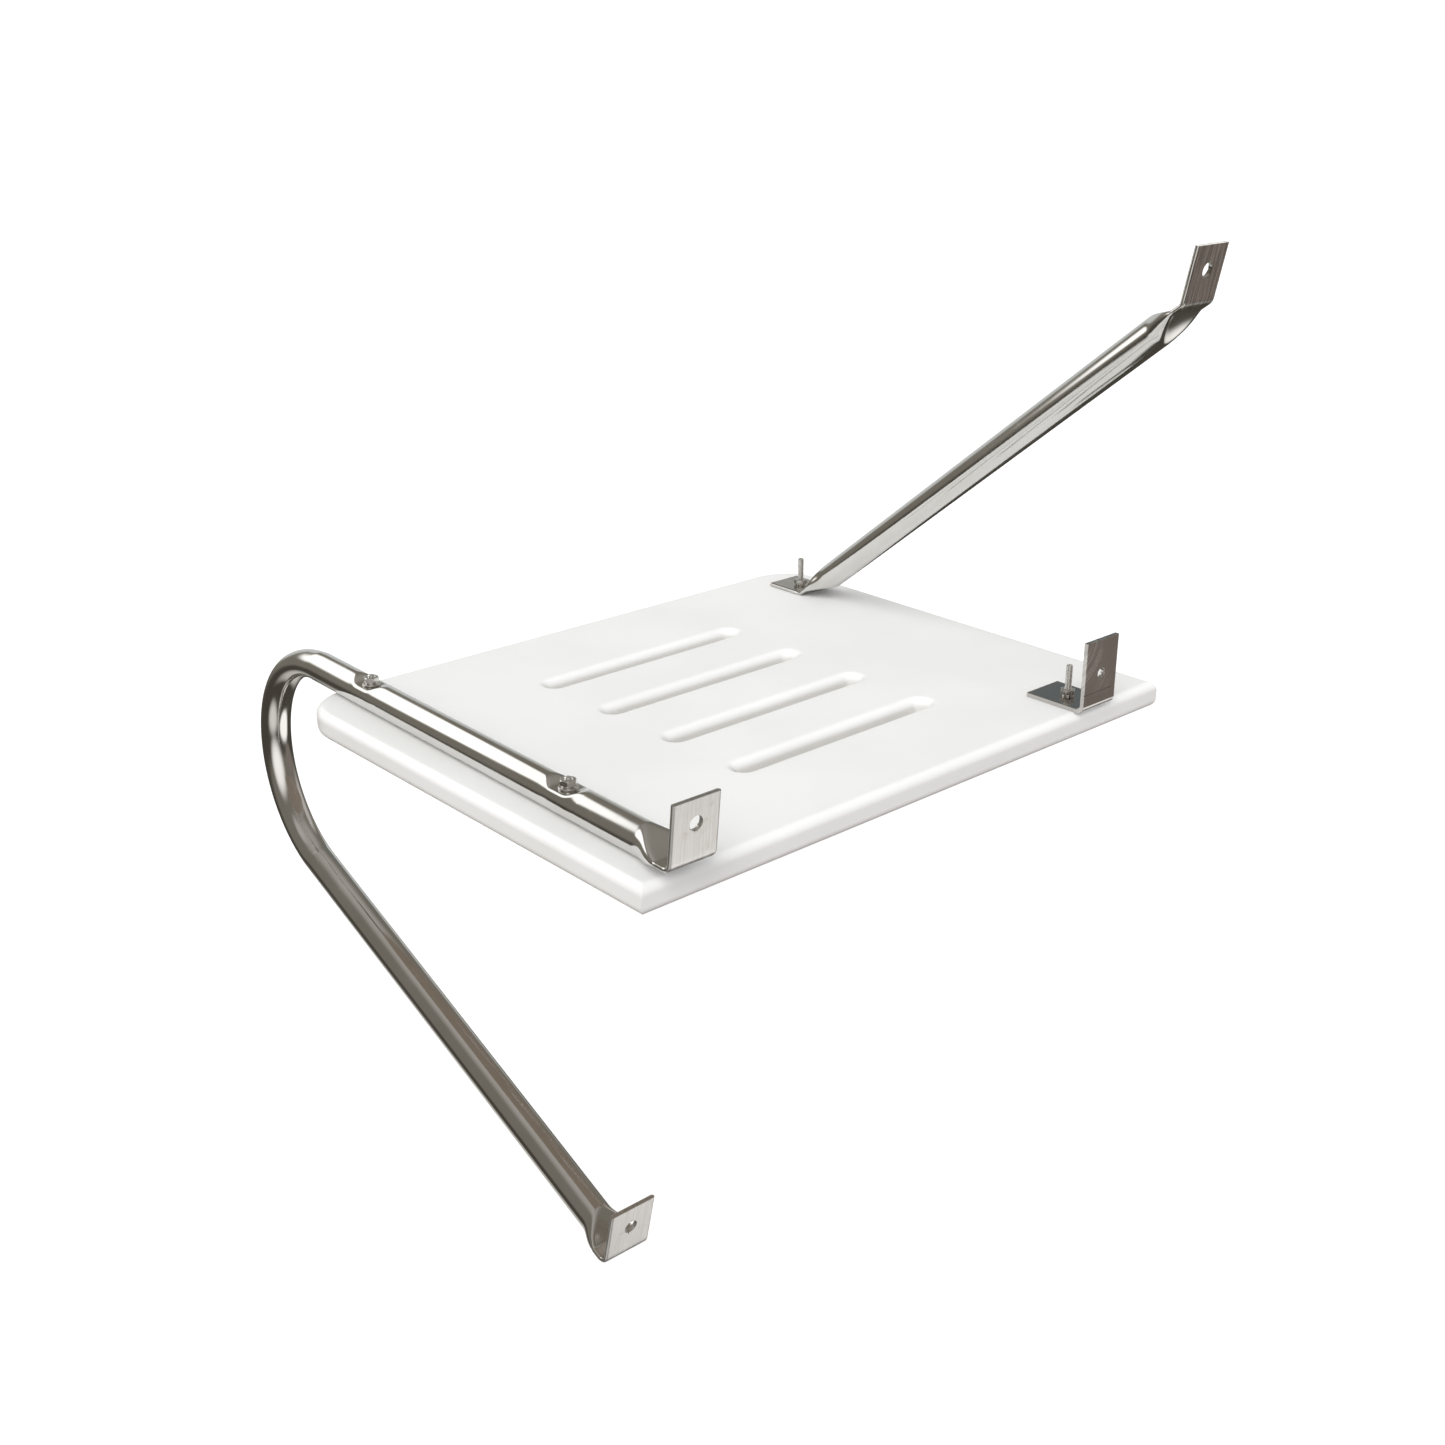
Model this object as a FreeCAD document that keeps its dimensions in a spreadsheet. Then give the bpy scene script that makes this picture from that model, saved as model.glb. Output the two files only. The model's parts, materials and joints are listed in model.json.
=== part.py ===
import FreeCAD, Part
import math
import os

import Sketcher
from FreeCAD import Placement, Rotation, Vector

# Transom platform, underside up: a slotted plastic board, a bent tube rail along its left side, a straight
# tube strut and a small angle bracket. Both tubes end in tabs: pressed flat, folded and drilled.
#
# Frame: origin at the middle of the board's transom edge. +X runs along that edge towards the bracket,
# +Y goes outwards, away from the transom, and +Z comes up out of the face that carries the fasteners.
# Lengths are in millimetres and angles in degrees.

SIZES = {
    # board
    "board_width": 476,
    "board_depth": 381,
    "board_thickness": 19,
    "board_corner_radius": 38,
    "board_edge_round": 6,
    "slot_count": 4,
    "slot_length": 178,
    "slot_width": 12.7,
    "slot_first": 87,
    "slot_pitch": 66.7,
    # what both tubes share
    "wall": 1.5,
    "flat_thickness": 3,
    "fold_radius": 4,
    "taper_length": 30,
    "tab_hole_radius": 4.75,
    "tab_hole_setback": 15.3,
    # rail: leg on the board, round bend, diagonal leg
    "rail_radius": 11.1,
    "rail_flat_width": 34.5,
    "rail_offset": 212,
    "rail_toe": 1.04,
    "rail_overhang": 13.9,
    "rail_bend_reach": 401,
    "rail_bend_radius": 86,
    "rail_fall": 20.7,
    "rail_diagonal": 399.5,
    "deck_tab_length": 43.2,
    "deck_tab_lean": 6,
    "lower_tab_length": 45.4,
    "lower_tab_lean": 13,
    "lower_hole_setback": 17,
    "flat_run": 14,
    "seat_radius": 7,
    "seat_depth": 4,
    "seat_spread": 3,
    # strut
    "strut_radius": 10.3,
    "strut_flat_width": 32,
    "strut_foot_length": 34.5,
    "strut_foot_setback": 14.5,
    "strut_stub": 8,
    "strut_shift": 71,
    "strut_reach": 388.5,
    "strut_rise": 36.17,
    "strut_tab_length": 36,
    "strut_tab_lean": 11,
    "strut_taper_length": 34,
    # angle bracket
    "bracket_thickness": 3.2,
    "bracket_width": 34,
    "bracket_leaf": 48.7,
    "bracket_plate": 51.4,
    "bracket_fold_radius": 3,
    "bracket_overhang": 4.4,
    "bracket_hole_height": 26.7,
    "bracket_hole_radius": 3.55,
    # where the four screws stand
    "rail_screw_near": 101.6,
    "rail_screw_far": 330.2,
    "strut_screw_across": 203,
    "strut_screw_out": 330.2,
    "bracket_screw_across": 163,
    "bracket_screw_out": 22,
    # hardware
    "screw_radius": 2.4,
    "screw_length": 44.5,
    "screw_head_radius": 4.7,
    "screw_tip_chamfer": 0.5,
    "recess_length": 5,
    "recess_width": 1.1,
    "recess_depth": 1.6,
    "hole_clearance": 0.1,
    "nut_across": 9.5,
    "nut_height": 3.3,
    "nut_chamfer_reach": 6,
    "nut_clearance": 0.05,
    "lock_radius": 4.2,
    "lock_thickness": 1.2,
    "lock_split": 1,
    "washer_radius": 6.3,
    "washer_thickness": 1.2,
}

MAX_FILES = 60
MAX_NAME = 59

# Turns a sketch so that its own axes u, v lie along Y and Z.
UPRIGHT = Rotation(Vector(1, 1, 1), 120)
# Turns a sketch so that its own axes u, v lie along X and Z.
FACING = Rotation(Vector(1, 0, 0), 90)
X_AXIS = Vector(1, 0, 0)
Z_AXIS = Vector(0, 0, 1)

doc = FreeCAD.newDocument("transom_platform")
sheet = doc.addObject("Spreadsheet::Sheet", "sizes")


def fill_sheet():
    for row, (alias, value) in enumerate(SIZES.items(), start=1):
        sheet.set(f"A{row}", alias)
        sheet.set(f"B{row}", str(value))
        sheet.setAlias(f"B{row}", alias)
    doc.recompute()


def size(alias):
    return float(getattr(sheet, alias))


def bind(item, **expressions):
    """Bind properties of a document object to the sheet: every word in capitals is an alias there."""
    for name, expression in expressions.items():
        item.setExpression(name.replace("__", "."), expression)
    return item


def part(kind, name, placement=None, **expressions):
    item = doc.addObject(f"Part::{kind}", name)
    if placement:
        item.Placement = placement
    return bind(item, **expressions)


def combine(kind, name, *pieces):
    """A Fuse, Common or other combination of several pieces."""
    item = doc.addObject(f"Part::{kind}", name)
    item.Shapes = list(pieces)
    return item


def cut(name, base, tool):
    item = doc.addObject("Part::Cut", name)
    item.Base = base
    item.Tool = tool
    return item


# ---------------------------------------------------------------- sketches


def new_sketch(name, placement, body=None):
    kind = "Sketcher::SketchObject"
    sketch = body.newObject(kind, name) if body else doc.addObject(kind, name)
    sketch.Placement = placement
    return sketch


def dimension(sketch, name, constraint, expression):
    """Add a named dimension and bind it to the sheet."""
    index = sketch.addConstraint(constraint)
    sketch.renameConstraint(index, name)
    sketch.setExpression(f"Constraints.{name}", expression)


def join_ends(sketch, edges):
    """Close a loop of edges that each run from their point 1 to their point 2."""
    for here, after in zip(edges, edges[1:] + edges[:1]):
        sketch.addConstraint(Sketcher.Constraint("Coincident", here, 2, after, 1))


def rectangle(name, placement, width, height):
    """A rectangle centred on the sketch's origin; width and height are expressions on the sheet."""
    sketch = new_sketch(name, placement)
    corners = [Vector(-9, -1, 0), Vector(9, -1, 0), Vector(9, 1, 0), Vector(-9, 1, 0)]
    lines = [sketch.addGeometry(Part.LineSegment(a, b), False) for a, b in zip(corners, corners[1:] + corners[:1])]
    join_ends(sketch, lines)
    for line, direction in zip(lines, ("Horizontal", "Vertical", "Horizontal", "Vertical")):
        sketch.addConstraint(Sketcher.Constraint(direction, line))
    sketch.addConstraint(Sketcher.Constraint("Symmetric", 0, 1, 2, 1, -1, 1))
    dimension(sketch, "width", Sketcher.Constraint("DistanceX", 0, 1, 0, 2, 18), width)
    dimension(sketch, "height", Sketcher.Constraint("DistanceY", 1, 1, 1, 2, 2), height)
    return sketch


def round_section(name, placement, radius):
    """A circle drawn as four arcs, so that it lofts corner to corner into a rectangle."""
    sketch = new_sketch(name, placement)
    split = 20
    start = 10
    stops = [180 + split, 360 - split, 360 + split, 540 - split, 540 + split]
    arcs = []
    for begin, end in zip(stops, stops[1:]):
        circle = Part.Circle(Vector(0, 0, 0), Z_AXIS, start)
        arcs.append(sketch.addGeometry(Part.ArcOfCircle(circle, math.radians(begin), math.radians(end)), False))
    join_ends(sketch, arcs)
    for arc in arcs[:-1]:
        sketch.addConstraint(Sketcher.Constraint("Coincident", arc, 3, -1, 1))
    sketch.addConstraint(Sketcher.Constraint("Equal", 0, 3))
    sketch.addConstraint(Sketcher.Constraint("Horizontal", 0, 1, 0, 2))
    sketch.addConstraint(Sketcher.Constraint("Vertical", 0, 2, 1, 2))
    sketch.addConstraint(Sketcher.Constraint("Horizontal", 1, 2, 2, 2))
    dimension(sketch, "radius", Sketcher.Constraint("Radius", 0, start), radius)
    rise = -start * math.sin(math.radians(split))
    dimension(sketch, "corner", Sketcher.Constraint("DistanceY", -1, 1, 0, 1, rise), f"-({radius}) * sin({split})")
    return sketch


def folded_strip(name, placement, first, second, thickness, fold_radius, opening, body=None):
    """Side view of a strip folded once.

    The first leg's outer face runs from the origin along u, the second leg's at the opening angle from it,
    and the metal lies inside that angle. The outer faces would meet at the origin; a round joins them.
    """
    sketch = new_sketch(name, placement, body)
    gauge, inner = size(thickness), size(fold_radius)
    outer = inner + gauge
    angle = sheet.evalExpression(opening)
    reach = [size(first), size(second)]
    tangent = outer / math.tan(math.radians(angle) / 2)
    along = [Vector(1, 0, 0), Vector(math.cos(math.radians(angle)), math.sin(math.radians(angle)), 0)]
    inward = [Vector(0, 1, 0), Vector(math.sin(math.radians(angle)), -math.cos(math.radians(angle)), 0)]
    centre = along[0] * tangent + inward[0] * outer
    half_turn = 270 - (180 - angle) / 2

    def bend_arc(radius):
        points = [centre - inward[1] * radius, None, centre - inward[0] * radius]
        middle = math.radians(half_turn)
        points[1] = centre + Vector(math.cos(middle), math.sin(middle), 0) * radius
        return Part.Arc(*points)

    outer_ends = [along[0] * reach[0], along[1] * reach[1]]
    inner_ends = [outer_ends[0] + inward[0] * gauge, outer_ends[1] + inward[1] * gauge]
    inner_starts = [centre - inward[0] * inner, centre - inward[1] * inner]
    geometry = [
        Part.LineSegment(along[0] * tangent, outer_ends[0]),
        Part.LineSegment(outer_ends[0], inner_ends[0]),
        Part.LineSegment(inner_ends[0], inner_starts[0]),
        bend_arc(inner),
        Part.LineSegment(inner_starts[1], inner_ends[1]),
        Part.LineSegment(inner_ends[1], outer_ends[1]),
        Part.LineSegment(outer_ends[1], along[1] * tangent),
        bend_arc(outer),
    ]
    (out_a, cap_a, in_a, arc_in, in_b, cap_b, out_b, arc_out) = [sketch.addGeometry(g, False) for g in geometry]
    relation = Sketcher.Constraint
    sketch.addConstraint(
        [
            relation("Coincident", out_a, 2, cap_a, 1),
            relation("Coincident", cap_a, 2, in_a, 1),
            relation("Coincident", in_b, 2, cap_b, 1),
            relation("Coincident", cap_b, 2, out_b, 1),
            relation("Tangent", arc_in, 2, in_a, 2),
            relation("Tangent", arc_in, 1, in_b, 1),
            relation("Tangent", arc_out, 2, out_a, 1),
            relation("Tangent", arc_out, 1, out_b, 2),
            relation("Coincident", arc_in, 3, arc_out, 3),
            relation("Perpendicular", out_a, cap_a),
            relation("Perpendicular", out_b, cap_b),
            relation("Parallel", out_a, in_a),
            relation("Parallel", out_b, in_b),
            relation("Horizontal", out_a),
            relation("PointOnObject", out_a, 2, -1),
        ]
    )
    dimension(sketch, "fold", relation("Radius", arc_in, inner), f"sizes.{fold_radius}")
    dimension(sketch, "gauge", relation("Distance", cap_a, gauge), f"sizes.{thickness}")
    dimension(sketch, "first", relation("DistanceX", -1, 1, out_a, 2, reach[0]), f"sizes.{first}")
    end = outer_ends[1]
    cosine, sine = f"cos({opening})", f"sin({opening})"
    dimension(sketch, "second_u", relation("DistanceX", -1, 1, out_b, 1, end.x), f"sizes.{second} * {cosine}")
    dimension(sketch, "second_v", relation("DistanceY", -1, 1, out_b, 1, end.y), f"sizes.{second} * {sine}")
    turned = relation("Angle", out_a, 1, out_b, 2, math.radians(angle))
    dimension(sketch, "opening", turned, f"({opening}) * 1 deg")
    return sketch


def widen(name, profile, width):
    """Stretch a side view to both sides, along the sketch's normal."""
    item = part("Extrusion", name, LengthFwd=f"sizes.{width}")
    item.Base = profile
    item.DirMode = "Normal"
    item.Solid = True
    item.Symmetric = True
    return item


def loft(name, *sections):
    item = part("Loft", name)
    item.Sections = list(sections)
    item.Solid = True
    return item


def sweep(name, section, spine):
    item = part("Sweep", name)
    item.Sections = [section]
    item.Spine = (spine, [f"Edge{n + 1}" for n in range(len(spine.Geometry))])
    item.Solid = True
    return item


# ---------------------------------------------------------------- board


def rail_point(along):
    """A point on the rail's line, in plan, at a distance along it from the transom edge."""
    toe = math.radians(size("rail_toe"))
    return Vector(along * math.sin(toe) - size("rail_offset"), along * math.cos(toe), 0)


def screw_places():
    """Where each screw stands, in plan, and the height of what its lock washer rests on."""
    top = size("board_thickness") / 2
    seat = top + 2 * size("rail_radius") - size("seat_depth") + size("washer_thickness")
    strut = Vector(size("strut_screw_across"), size("strut_screw_out"), 0)
    bracket = Vector(size("bracket_screw_across"), size("bracket_screw_out"), 0)
    return {
        "rail_outer": (rail_point(size("rail_screw_far")), seat),
        "rail_inner": (rail_point(size("rail_screw_near")), seat),
        "strut": (strut, top + size("flat_thickness")),
        "bracket": (bracket, top + size("bracket_thickness")),
    }


def board_outline(body):
    """Square corners on the transom edge, round ones on the outer edge."""
    sketch = new_sketch("board_outline", Placement(), body)
    half, depth, corner = size("board_width") / 2, size("board_depth"), size("board_corner_radius")
    inset, below = half - corner, depth - corner
    diagonal = corner * math.sqrt(0.5)
    edges = [
        Part.LineSegment(Vector(-half, 0, 0), Vector(half, 0, 0)),
        Part.LineSegment(Vector(half, 0, 0), Vector(half, below, 0)),
        Part.Arc(Vector(half, below, 0), Vector(inset + diagonal, below + diagonal, 0), Vector(inset, depth, 0)),
        Part.LineSegment(Vector(inset, depth, 0), Vector(-inset, depth, 0)),
        Part.Arc(Vector(-inset, depth, 0), Vector(-inset - diagonal, below + diagonal, 0), Vector(-half, below, 0)),
        Part.LineSegment(Vector(-half, below, 0), Vector(-half, 0, 0)),
    ]
    front, right, round_right, back, round_left, left = [sketch.addGeometry(edge, False) for edge in edges]
    relation = Sketcher.Constraint
    sketch.addConstraint(
        [
            relation("Coincident", left, 2, front, 1),
            relation("Coincident", front, 2, right, 1),
            relation("Tangent", right, 2, round_right, 1),
            relation("Tangent", round_right, 2, back, 1),
            relation("Tangent", back, 2, round_left, 1),
            relation("Tangent", round_left, 2, left, 1),
            relation("Equal", round_right, round_left),
            relation("Vertical", right),
            relation("Vertical", left),
            relation("Symmetric", front, 1, front, 2, -1, 1),
            relation("Horizontal", front),
            relation("Horizontal", back),
        ]
    )
    dimension(sketch, "width", relation("DistanceX", front, 1, front, 2, 2 * half), "sizes.board_width")
    dimension(sketch, "depth", relation("DistanceY", front, 1, back, 1, depth), "sizes.board_depth")
    dimension(sketch, "corner", relation("Radius", round_right, corner), "sizes.board_corner_radius")
    return sketch


def slot_outline(body):
    """One slot with round ends, parallel to the transom edge."""
    sketch = new_sketch("slot_outline", Placement(), body)
    first, half_width = size("slot_first"), size("slot_width") / 2
    straight = size("slot_length") / 2 - half_width
    low, high = first - half_width, first + half_width
    edges = [
        Part.LineSegment(Vector(-straight, low, 0), Vector(straight, low, 0)),
        Part.Arc(Vector(straight, low, 0), Vector(straight + half_width, first, 0), Vector(straight, high, 0)),
        Part.LineSegment(Vector(straight, high, 0), Vector(-straight, high, 0)),
        Part.Arc(Vector(-straight, high, 0), Vector(-straight - half_width, first, 0), Vector(-straight, low, 0)),
    ]
    near, right, far, left = [sketch.addGeometry(edge, False) for edge in edges]
    relation = Sketcher.Constraint
    sketch.addConstraint(
        [
            relation("Tangent", near, 2, right, 1),
            relation("Tangent", right, 2, far, 1),
            relation("Tangent", far, 2, left, 1),
            relation("Tangent", left, 2, near, 1),
            relation("Horizontal", far),
            relation("Symmetric", near, 1, near, 2, -2),
        ]
    )
    dimension(sketch, "width", relation("DistanceY", near, 2, far, 1, 2 * half_width), "sizes.slot_width")
    straight_length = "sizes.slot_length - sizes.slot_width"
    dimension(sketch, "straight", relation("DistanceX", near, 1, near, 2, 2 * straight), straight_length)
    dimension(sketch, "place", relation("DistanceY", -1, 1, right, 3, first), "sizes.slot_first")
    return sketch


def screw_circles(body):
    """Four circles on the board's hidden face, one for each screw."""
    sketch = new_sketch("screw_circles", Placement(), body)
    bind(sketch, Placement__Base__z="-sizes.board_thickness / 2")
    toe_x, toe_y = "sin(sizes.rail_toe)", "cos(sizes.rail_toe)"
    places = {
        "rail_outer": (f"sizes.rail_screw_far * {toe_x} - sizes.rail_offset", f"sizes.rail_screw_far * {toe_y}"),
        "rail_inner": (f"sizes.rail_screw_near * {toe_x} - sizes.rail_offset", f"sizes.rail_screw_near * {toe_y}"),
        "strut": ("sizes.strut_screw_across", "sizes.strut_screw_out"),
        "bracket": ("sizes.bracket_screw_across", "sizes.bracket_screw_out"),
    }
    radius = size("screw_radius")
    for name, (point, _) in screw_places().items():
        circle = sketch.addGeometry(Part.Circle(point, Z_AXIS, radius), False)
        across, out = places[name]
        relation = Sketcher.Constraint
        dimension(sketch, f"{name}_x", relation("DistanceX", -1, 1, circle, 3, point.x), across)
        dimension(sketch, f"{name}_y", relation("DistanceY", -1, 1, circle, 3, point.y), out)
        dimension(sketch, f"{name}_r", relation("Radius", circle, radius), "sizes.screw_radius")
    return sketch


def deck_board():
    body = doc.addObject("PartDesign::Body", "deck_board")
    body.Label = "deck_board"
    plank = body.newObject("PartDesign::Pad", "plank")
    plank.Profile = board_outline(body)
    plank.SideType = "Symmetric"
    bind(plank, Length="sizes.board_thickness")
    doc.recompute()

    slot = body.newObject("PartDesign::Pocket", "slot")
    slot.Profile = slot_outline(body)
    slot.SideType = "Symmetric"
    bind(slot, Length="sizes.board_thickness * 2")
    doc.recompute()

    slots = body.newObject("PartDesign::LinearPattern", "slots")
    slots.Originals = [slot]
    slots.Direction = (origin_axis(body, "Y_Axis"), [""])
    slots.Mode = "Spacing"
    bind(slots, Offset="sizes.slot_pitch", Occurrences="sizes.slot_count")
    body.Tip = slots
    doc.recompute()

    rounds = body.newObject("PartDesign::Fillet", "edge_rounds")
    rounds.Base = (slots, face_edges(slots.Shape, size("board_thickness") / 2))
    bind(rounds, Radius="sizes.board_edge_round")
    body.Tip = rounds
    doc.recompute()

    holes = body.newObject("PartDesign::Hole", "screw_holes")
    holes.Profile = screw_circles(body)
    doc.recompute()
    holes.DepthType = "ThroughAll"
    holes.Reversed = True
    holes.HoleCutType = "Countersink"
    holes.HoleCutCountersinkAngle = 90
    bind(
        holes,
        Diameter="2 * (sizes.screw_radius + sizes.hole_clearance)",
        HoleCutDiameter="2 * (sizes.screw_head_radius + sizes.hole_clearance)",
    )
    body.Tip = holes
    return body


def origin_axis(body, role):
    return next(item for item in body.Origin.OriginFeatures if item.Role == role)


def face_edges(shape, level):
    """Names of the edges that lie in the two faces at plus and minus the given height."""
    names = []
    for number, edge in enumerate(shape.Edges, start=1):
        box = edge.BoundBox
        flat = box.ZLength < 1e-6
        if flat and abs(abs(box.ZMin) - level) < 1e-6:
            names.append(f"Edge{number}")
    return names


# ---------------------------------------------------------------- tubes


def rail_path(height):
    """The rail's centre line: leg on the board, bend, diagonal leg. Drawn in the upright plane."""
    sketch = new_sketch("rail_path", Placement(Vector(0, 0, 0), UPRIGHT))
    start = size("flat_run") + size("taper_length") - size("rail_overhang")
    reach, radius = size("rail_bend_reach"), size("rail_bend_radius")
    fall = math.radians(size("rail_fall"))
    run = size("rail_diagonal") - size("flat_run") - size("taper_length")
    centre = Vector(reach, height - radius, 0)
    top = Vector(reach, height, 0)
    side = centre + Vector(math.cos(fall / 2), math.sin(fall / 2), 0) * radius
    bottom = centre + Vector(math.sin(fall), -math.cos(fall), 0) * radius
    end = bottom - Vector(math.cos(fall), math.sin(fall), 0) * run
    edges = [
        Part.LineSegment(Vector(start, height, 0), top),
        Part.Arc(top, side, bottom),
        Part.LineSegment(bottom, end),
    ]
    leg, bend, diagonal = [sketch.addGeometry(edge, False) for edge in edges]
    relation = Sketcher.Constraint
    bend_first, bend_last = (1, 2) if near(sketch.getPoint(bend, 1), top) else (2, 1)
    sketch.addConstraint(
        [
            relation("Horizontal", leg),
            relation("Tangent", leg, 2, bend, bend_first),
            relation("Tangent", bend, bend_last, diagonal, 1),
        ]
    )
    leg_start = "sizes.flat_run + sizes.taper_length - sizes.rail_overhang"
    leg_height = "sizes.board_thickness / 2 + sizes.rail_radius"
    run_length = "sizes.rail_diagonal - sizes.flat_run - sizes.taper_length"
    dimension(sketch, "start", relation("DistanceX", -1, 1, leg, 1, start), leg_start)
    dimension(sketch, "height", relation("DistanceY", -1, 1, leg, 1, height), leg_height)
    dimension(sketch, "reach", relation("DistanceX", -1, 1, bend, 3, reach), "sizes.rail_bend_reach")
    dimension(sketch, "radius", relation("Radius", bend, radius), "sizes.rail_bend_radius")
    dimension(sketch, "fall_x", relation("DistanceX", diagonal, 2, diagonal, 1, bottom.x - end.x),
              f"({run_length}) * cos(sizes.rail_fall)")
    dimension(sketch, "run", relation("Distance", diagonal, run), run_length)
    return sketch, start, bottom, end


def near(a, b):
    return (a - b).Length < 1e-3


def tube_end(name, round_place, flat_place, radius, width):
    """The stretch where a tube goes from round to flat, outside and inside."""
    outside = loft(
        f"{name}_taper",
        round_section(f"{name}_round", round_place, f"sizes.{radius}"),
        rectangle(f"{name}_slab", flat_place, f"sizes.{width}", "sizes.flat_thickness"),
    )
    inside = loft(
        f"{name}_taper_bore",
        round_section(f"{name}_bore_round", round_place, f"sizes.{radius} - sizes.wall"),
        rectangle(f"{name}_bore_slit", flat_place, f"sizes.{width} - 4 * sizes.wall", "sizes.wall / 10"),
    )
    return outside, inside


def hole_cutter(name, point, direction):
    """A long cylinder centred on a tab's hole."""
    turn = Rotation(Z_AXIS, direction)
    back = direction * -size("taper_length") / 2
    return part("Cylinder", name, Placement(point + back, turn),
                Radius="sizes.tab_hole_radius", Height="sizes.taper_length")


def tab_hole(name, corner, lean, length, setback="tab_hole_setback"):
    """A cutter through the middle of a tab's hole, set out from the outer corner of the tab's fold."""
    angle = math.radians(size(lean))
    direction = Vector(0, -math.sin(angle), math.cos(angle))
    front = Vector(0, -direction.z, direction.y)
    point = corner + direction * (size(length) - size(setback)) - front * size("flat_thickness") / 2
    return hole_cutter(name, point, front)


def rail_tube():
    height = size("board_thickness") / 2 + size("rail_radius")
    half_gauge = size("flat_thickness") / 2
    fall = math.radians(size("rail_fall"))
    path, start, bottom, end = rail_path(height)
    back = Vector(0, math.cos(fall), math.sin(fall))
    lift = Vector(0, -back.z, back.y)
    diagonal_turn = Rotation(X_AXIS, size("rail_fall")) * UPRIGHT

    deck_corner = Vector(0, -size("rail_overhang"), height - half_gauge)
    lower_axis = Vector(0, bottom.x, bottom.y) - back * size("rail_diagonal")
    lower_corner = lower_axis - lift * half_gauge
    deck_opening = "90 + sizes.deck_tab_lean"
    lower_opening = "90 + sizes.lower_tab_lean - sizes.rail_fall"
    deck_strip = folded_strip("deck_tab_side", Placement(deck_corner, UPRIGHT), "flat_run", "deck_tab_length",
                              "flat_thickness", "fold_radius", deck_opening)
    lower_strip = folded_strip("lower_tab_side", Placement(lower_corner, diagonal_turn), "flat_run",
                               "lower_tab_length", "flat_thickness", "fold_radius", lower_opening)
    leg_flat = deck_corner + Vector(0, size("flat_run"), half_gauge)
    diagonal_flat = lower_axis + back * size("flat_run")
    tilted = Rotation(X_AXIS, size("rail_fall")) * FACING
    deck_taper, deck_bore = tube_end(
        "deck_end", Placement(Vector(0, start, height), FACING), Placement(leg_flat, FACING),
        "rail_radius", "rail_flat_width")
    lower_taper, lower_bore = tube_end(
        "lower_end", Placement(Vector(0, end.x, end.y), tilted), Placement(diagonal_flat, tilted),
        "rail_radius", "rail_flat_width")
    section_place = Placement(Vector(0, start, height), FACING)
    outside = combine(
        "MultiFuse", "rail_outside",
        sweep("rail_run", round_section("rail_section", section_place, "sizes.rail_radius"), path),
        deck_taper,
        lower_taper,
        widen("deck_tab", deck_strip, "rail_flat_width"),
        widen("lower_tab", lower_strip, "rail_flat_width"),
    )
    bore_section = round_section("rail_bore_section", section_place, "sizes.rail_radius - sizes.wall")
    bore = combine("MultiFuse", "rail_bore", sweep("rail_run_bore", bore_section, path), deck_bore, lower_bore)

    seat_walls, cutters = [], []
    for name in ("near", "far"):
        along = size(f"rail_screw_{name}")
        floor = "sizes.board_thickness / 2 + 2 * sizes.rail_radius - sizes.seat_depth"
        at = Placement(Vector(0, along, 0), Rotation())
        wall = part("Cone", f"seat_{name}_wall", at,
                    Placement__Base__z=f"{floor} - sizes.wall",
                    Radius1="sizes.seat_radius + sizes.wall",
                    Radius2="sizes.seat_radius + sizes.wall + sizes.seat_spread",
                    Height="sizes.seat_depth")
        dish = part("Cone", f"seat_{name}", at,
                    Placement__Base__z=floor,
                    Radius1="sizes.seat_radius",
                    Radius2="sizes.seat_radius + 2 * sizes.seat_spread",
                    Height="2 * sizes.seat_depth")
        hole = part("Cylinder", f"rail_hole_{name}", at,
                    Radius="sizes.screw_radius + sizes.hole_clearance",
                    Height="sizes.screw_length")
        seat_walls.append(wall)
        cutters += [dish, hole]
    cavity = cut("rail_cavity", bore, combine("MultiFuse", "seat_walls", *seat_walls))

    cutters.append(tab_hole("deck_tab_hole", deck_corner, "deck_tab_lean", "deck_tab_length"))
    cutters.append(
        tab_hole("lower_tab_hole", lower_corner, "lower_tab_lean", "lower_tab_length", "lower_hole_setback"))
    shell = cut("rail_shell", outside, cavity)
    rail = cut("rail_tube", shell, combine("MultiFuse", "rail_cutters", *cutters))
    rail.Placement = Placement(Vector(-size("rail_offset"), 0, 0), Rotation(Z_AXIS, -size("rail_toe")))
    return rail


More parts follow.
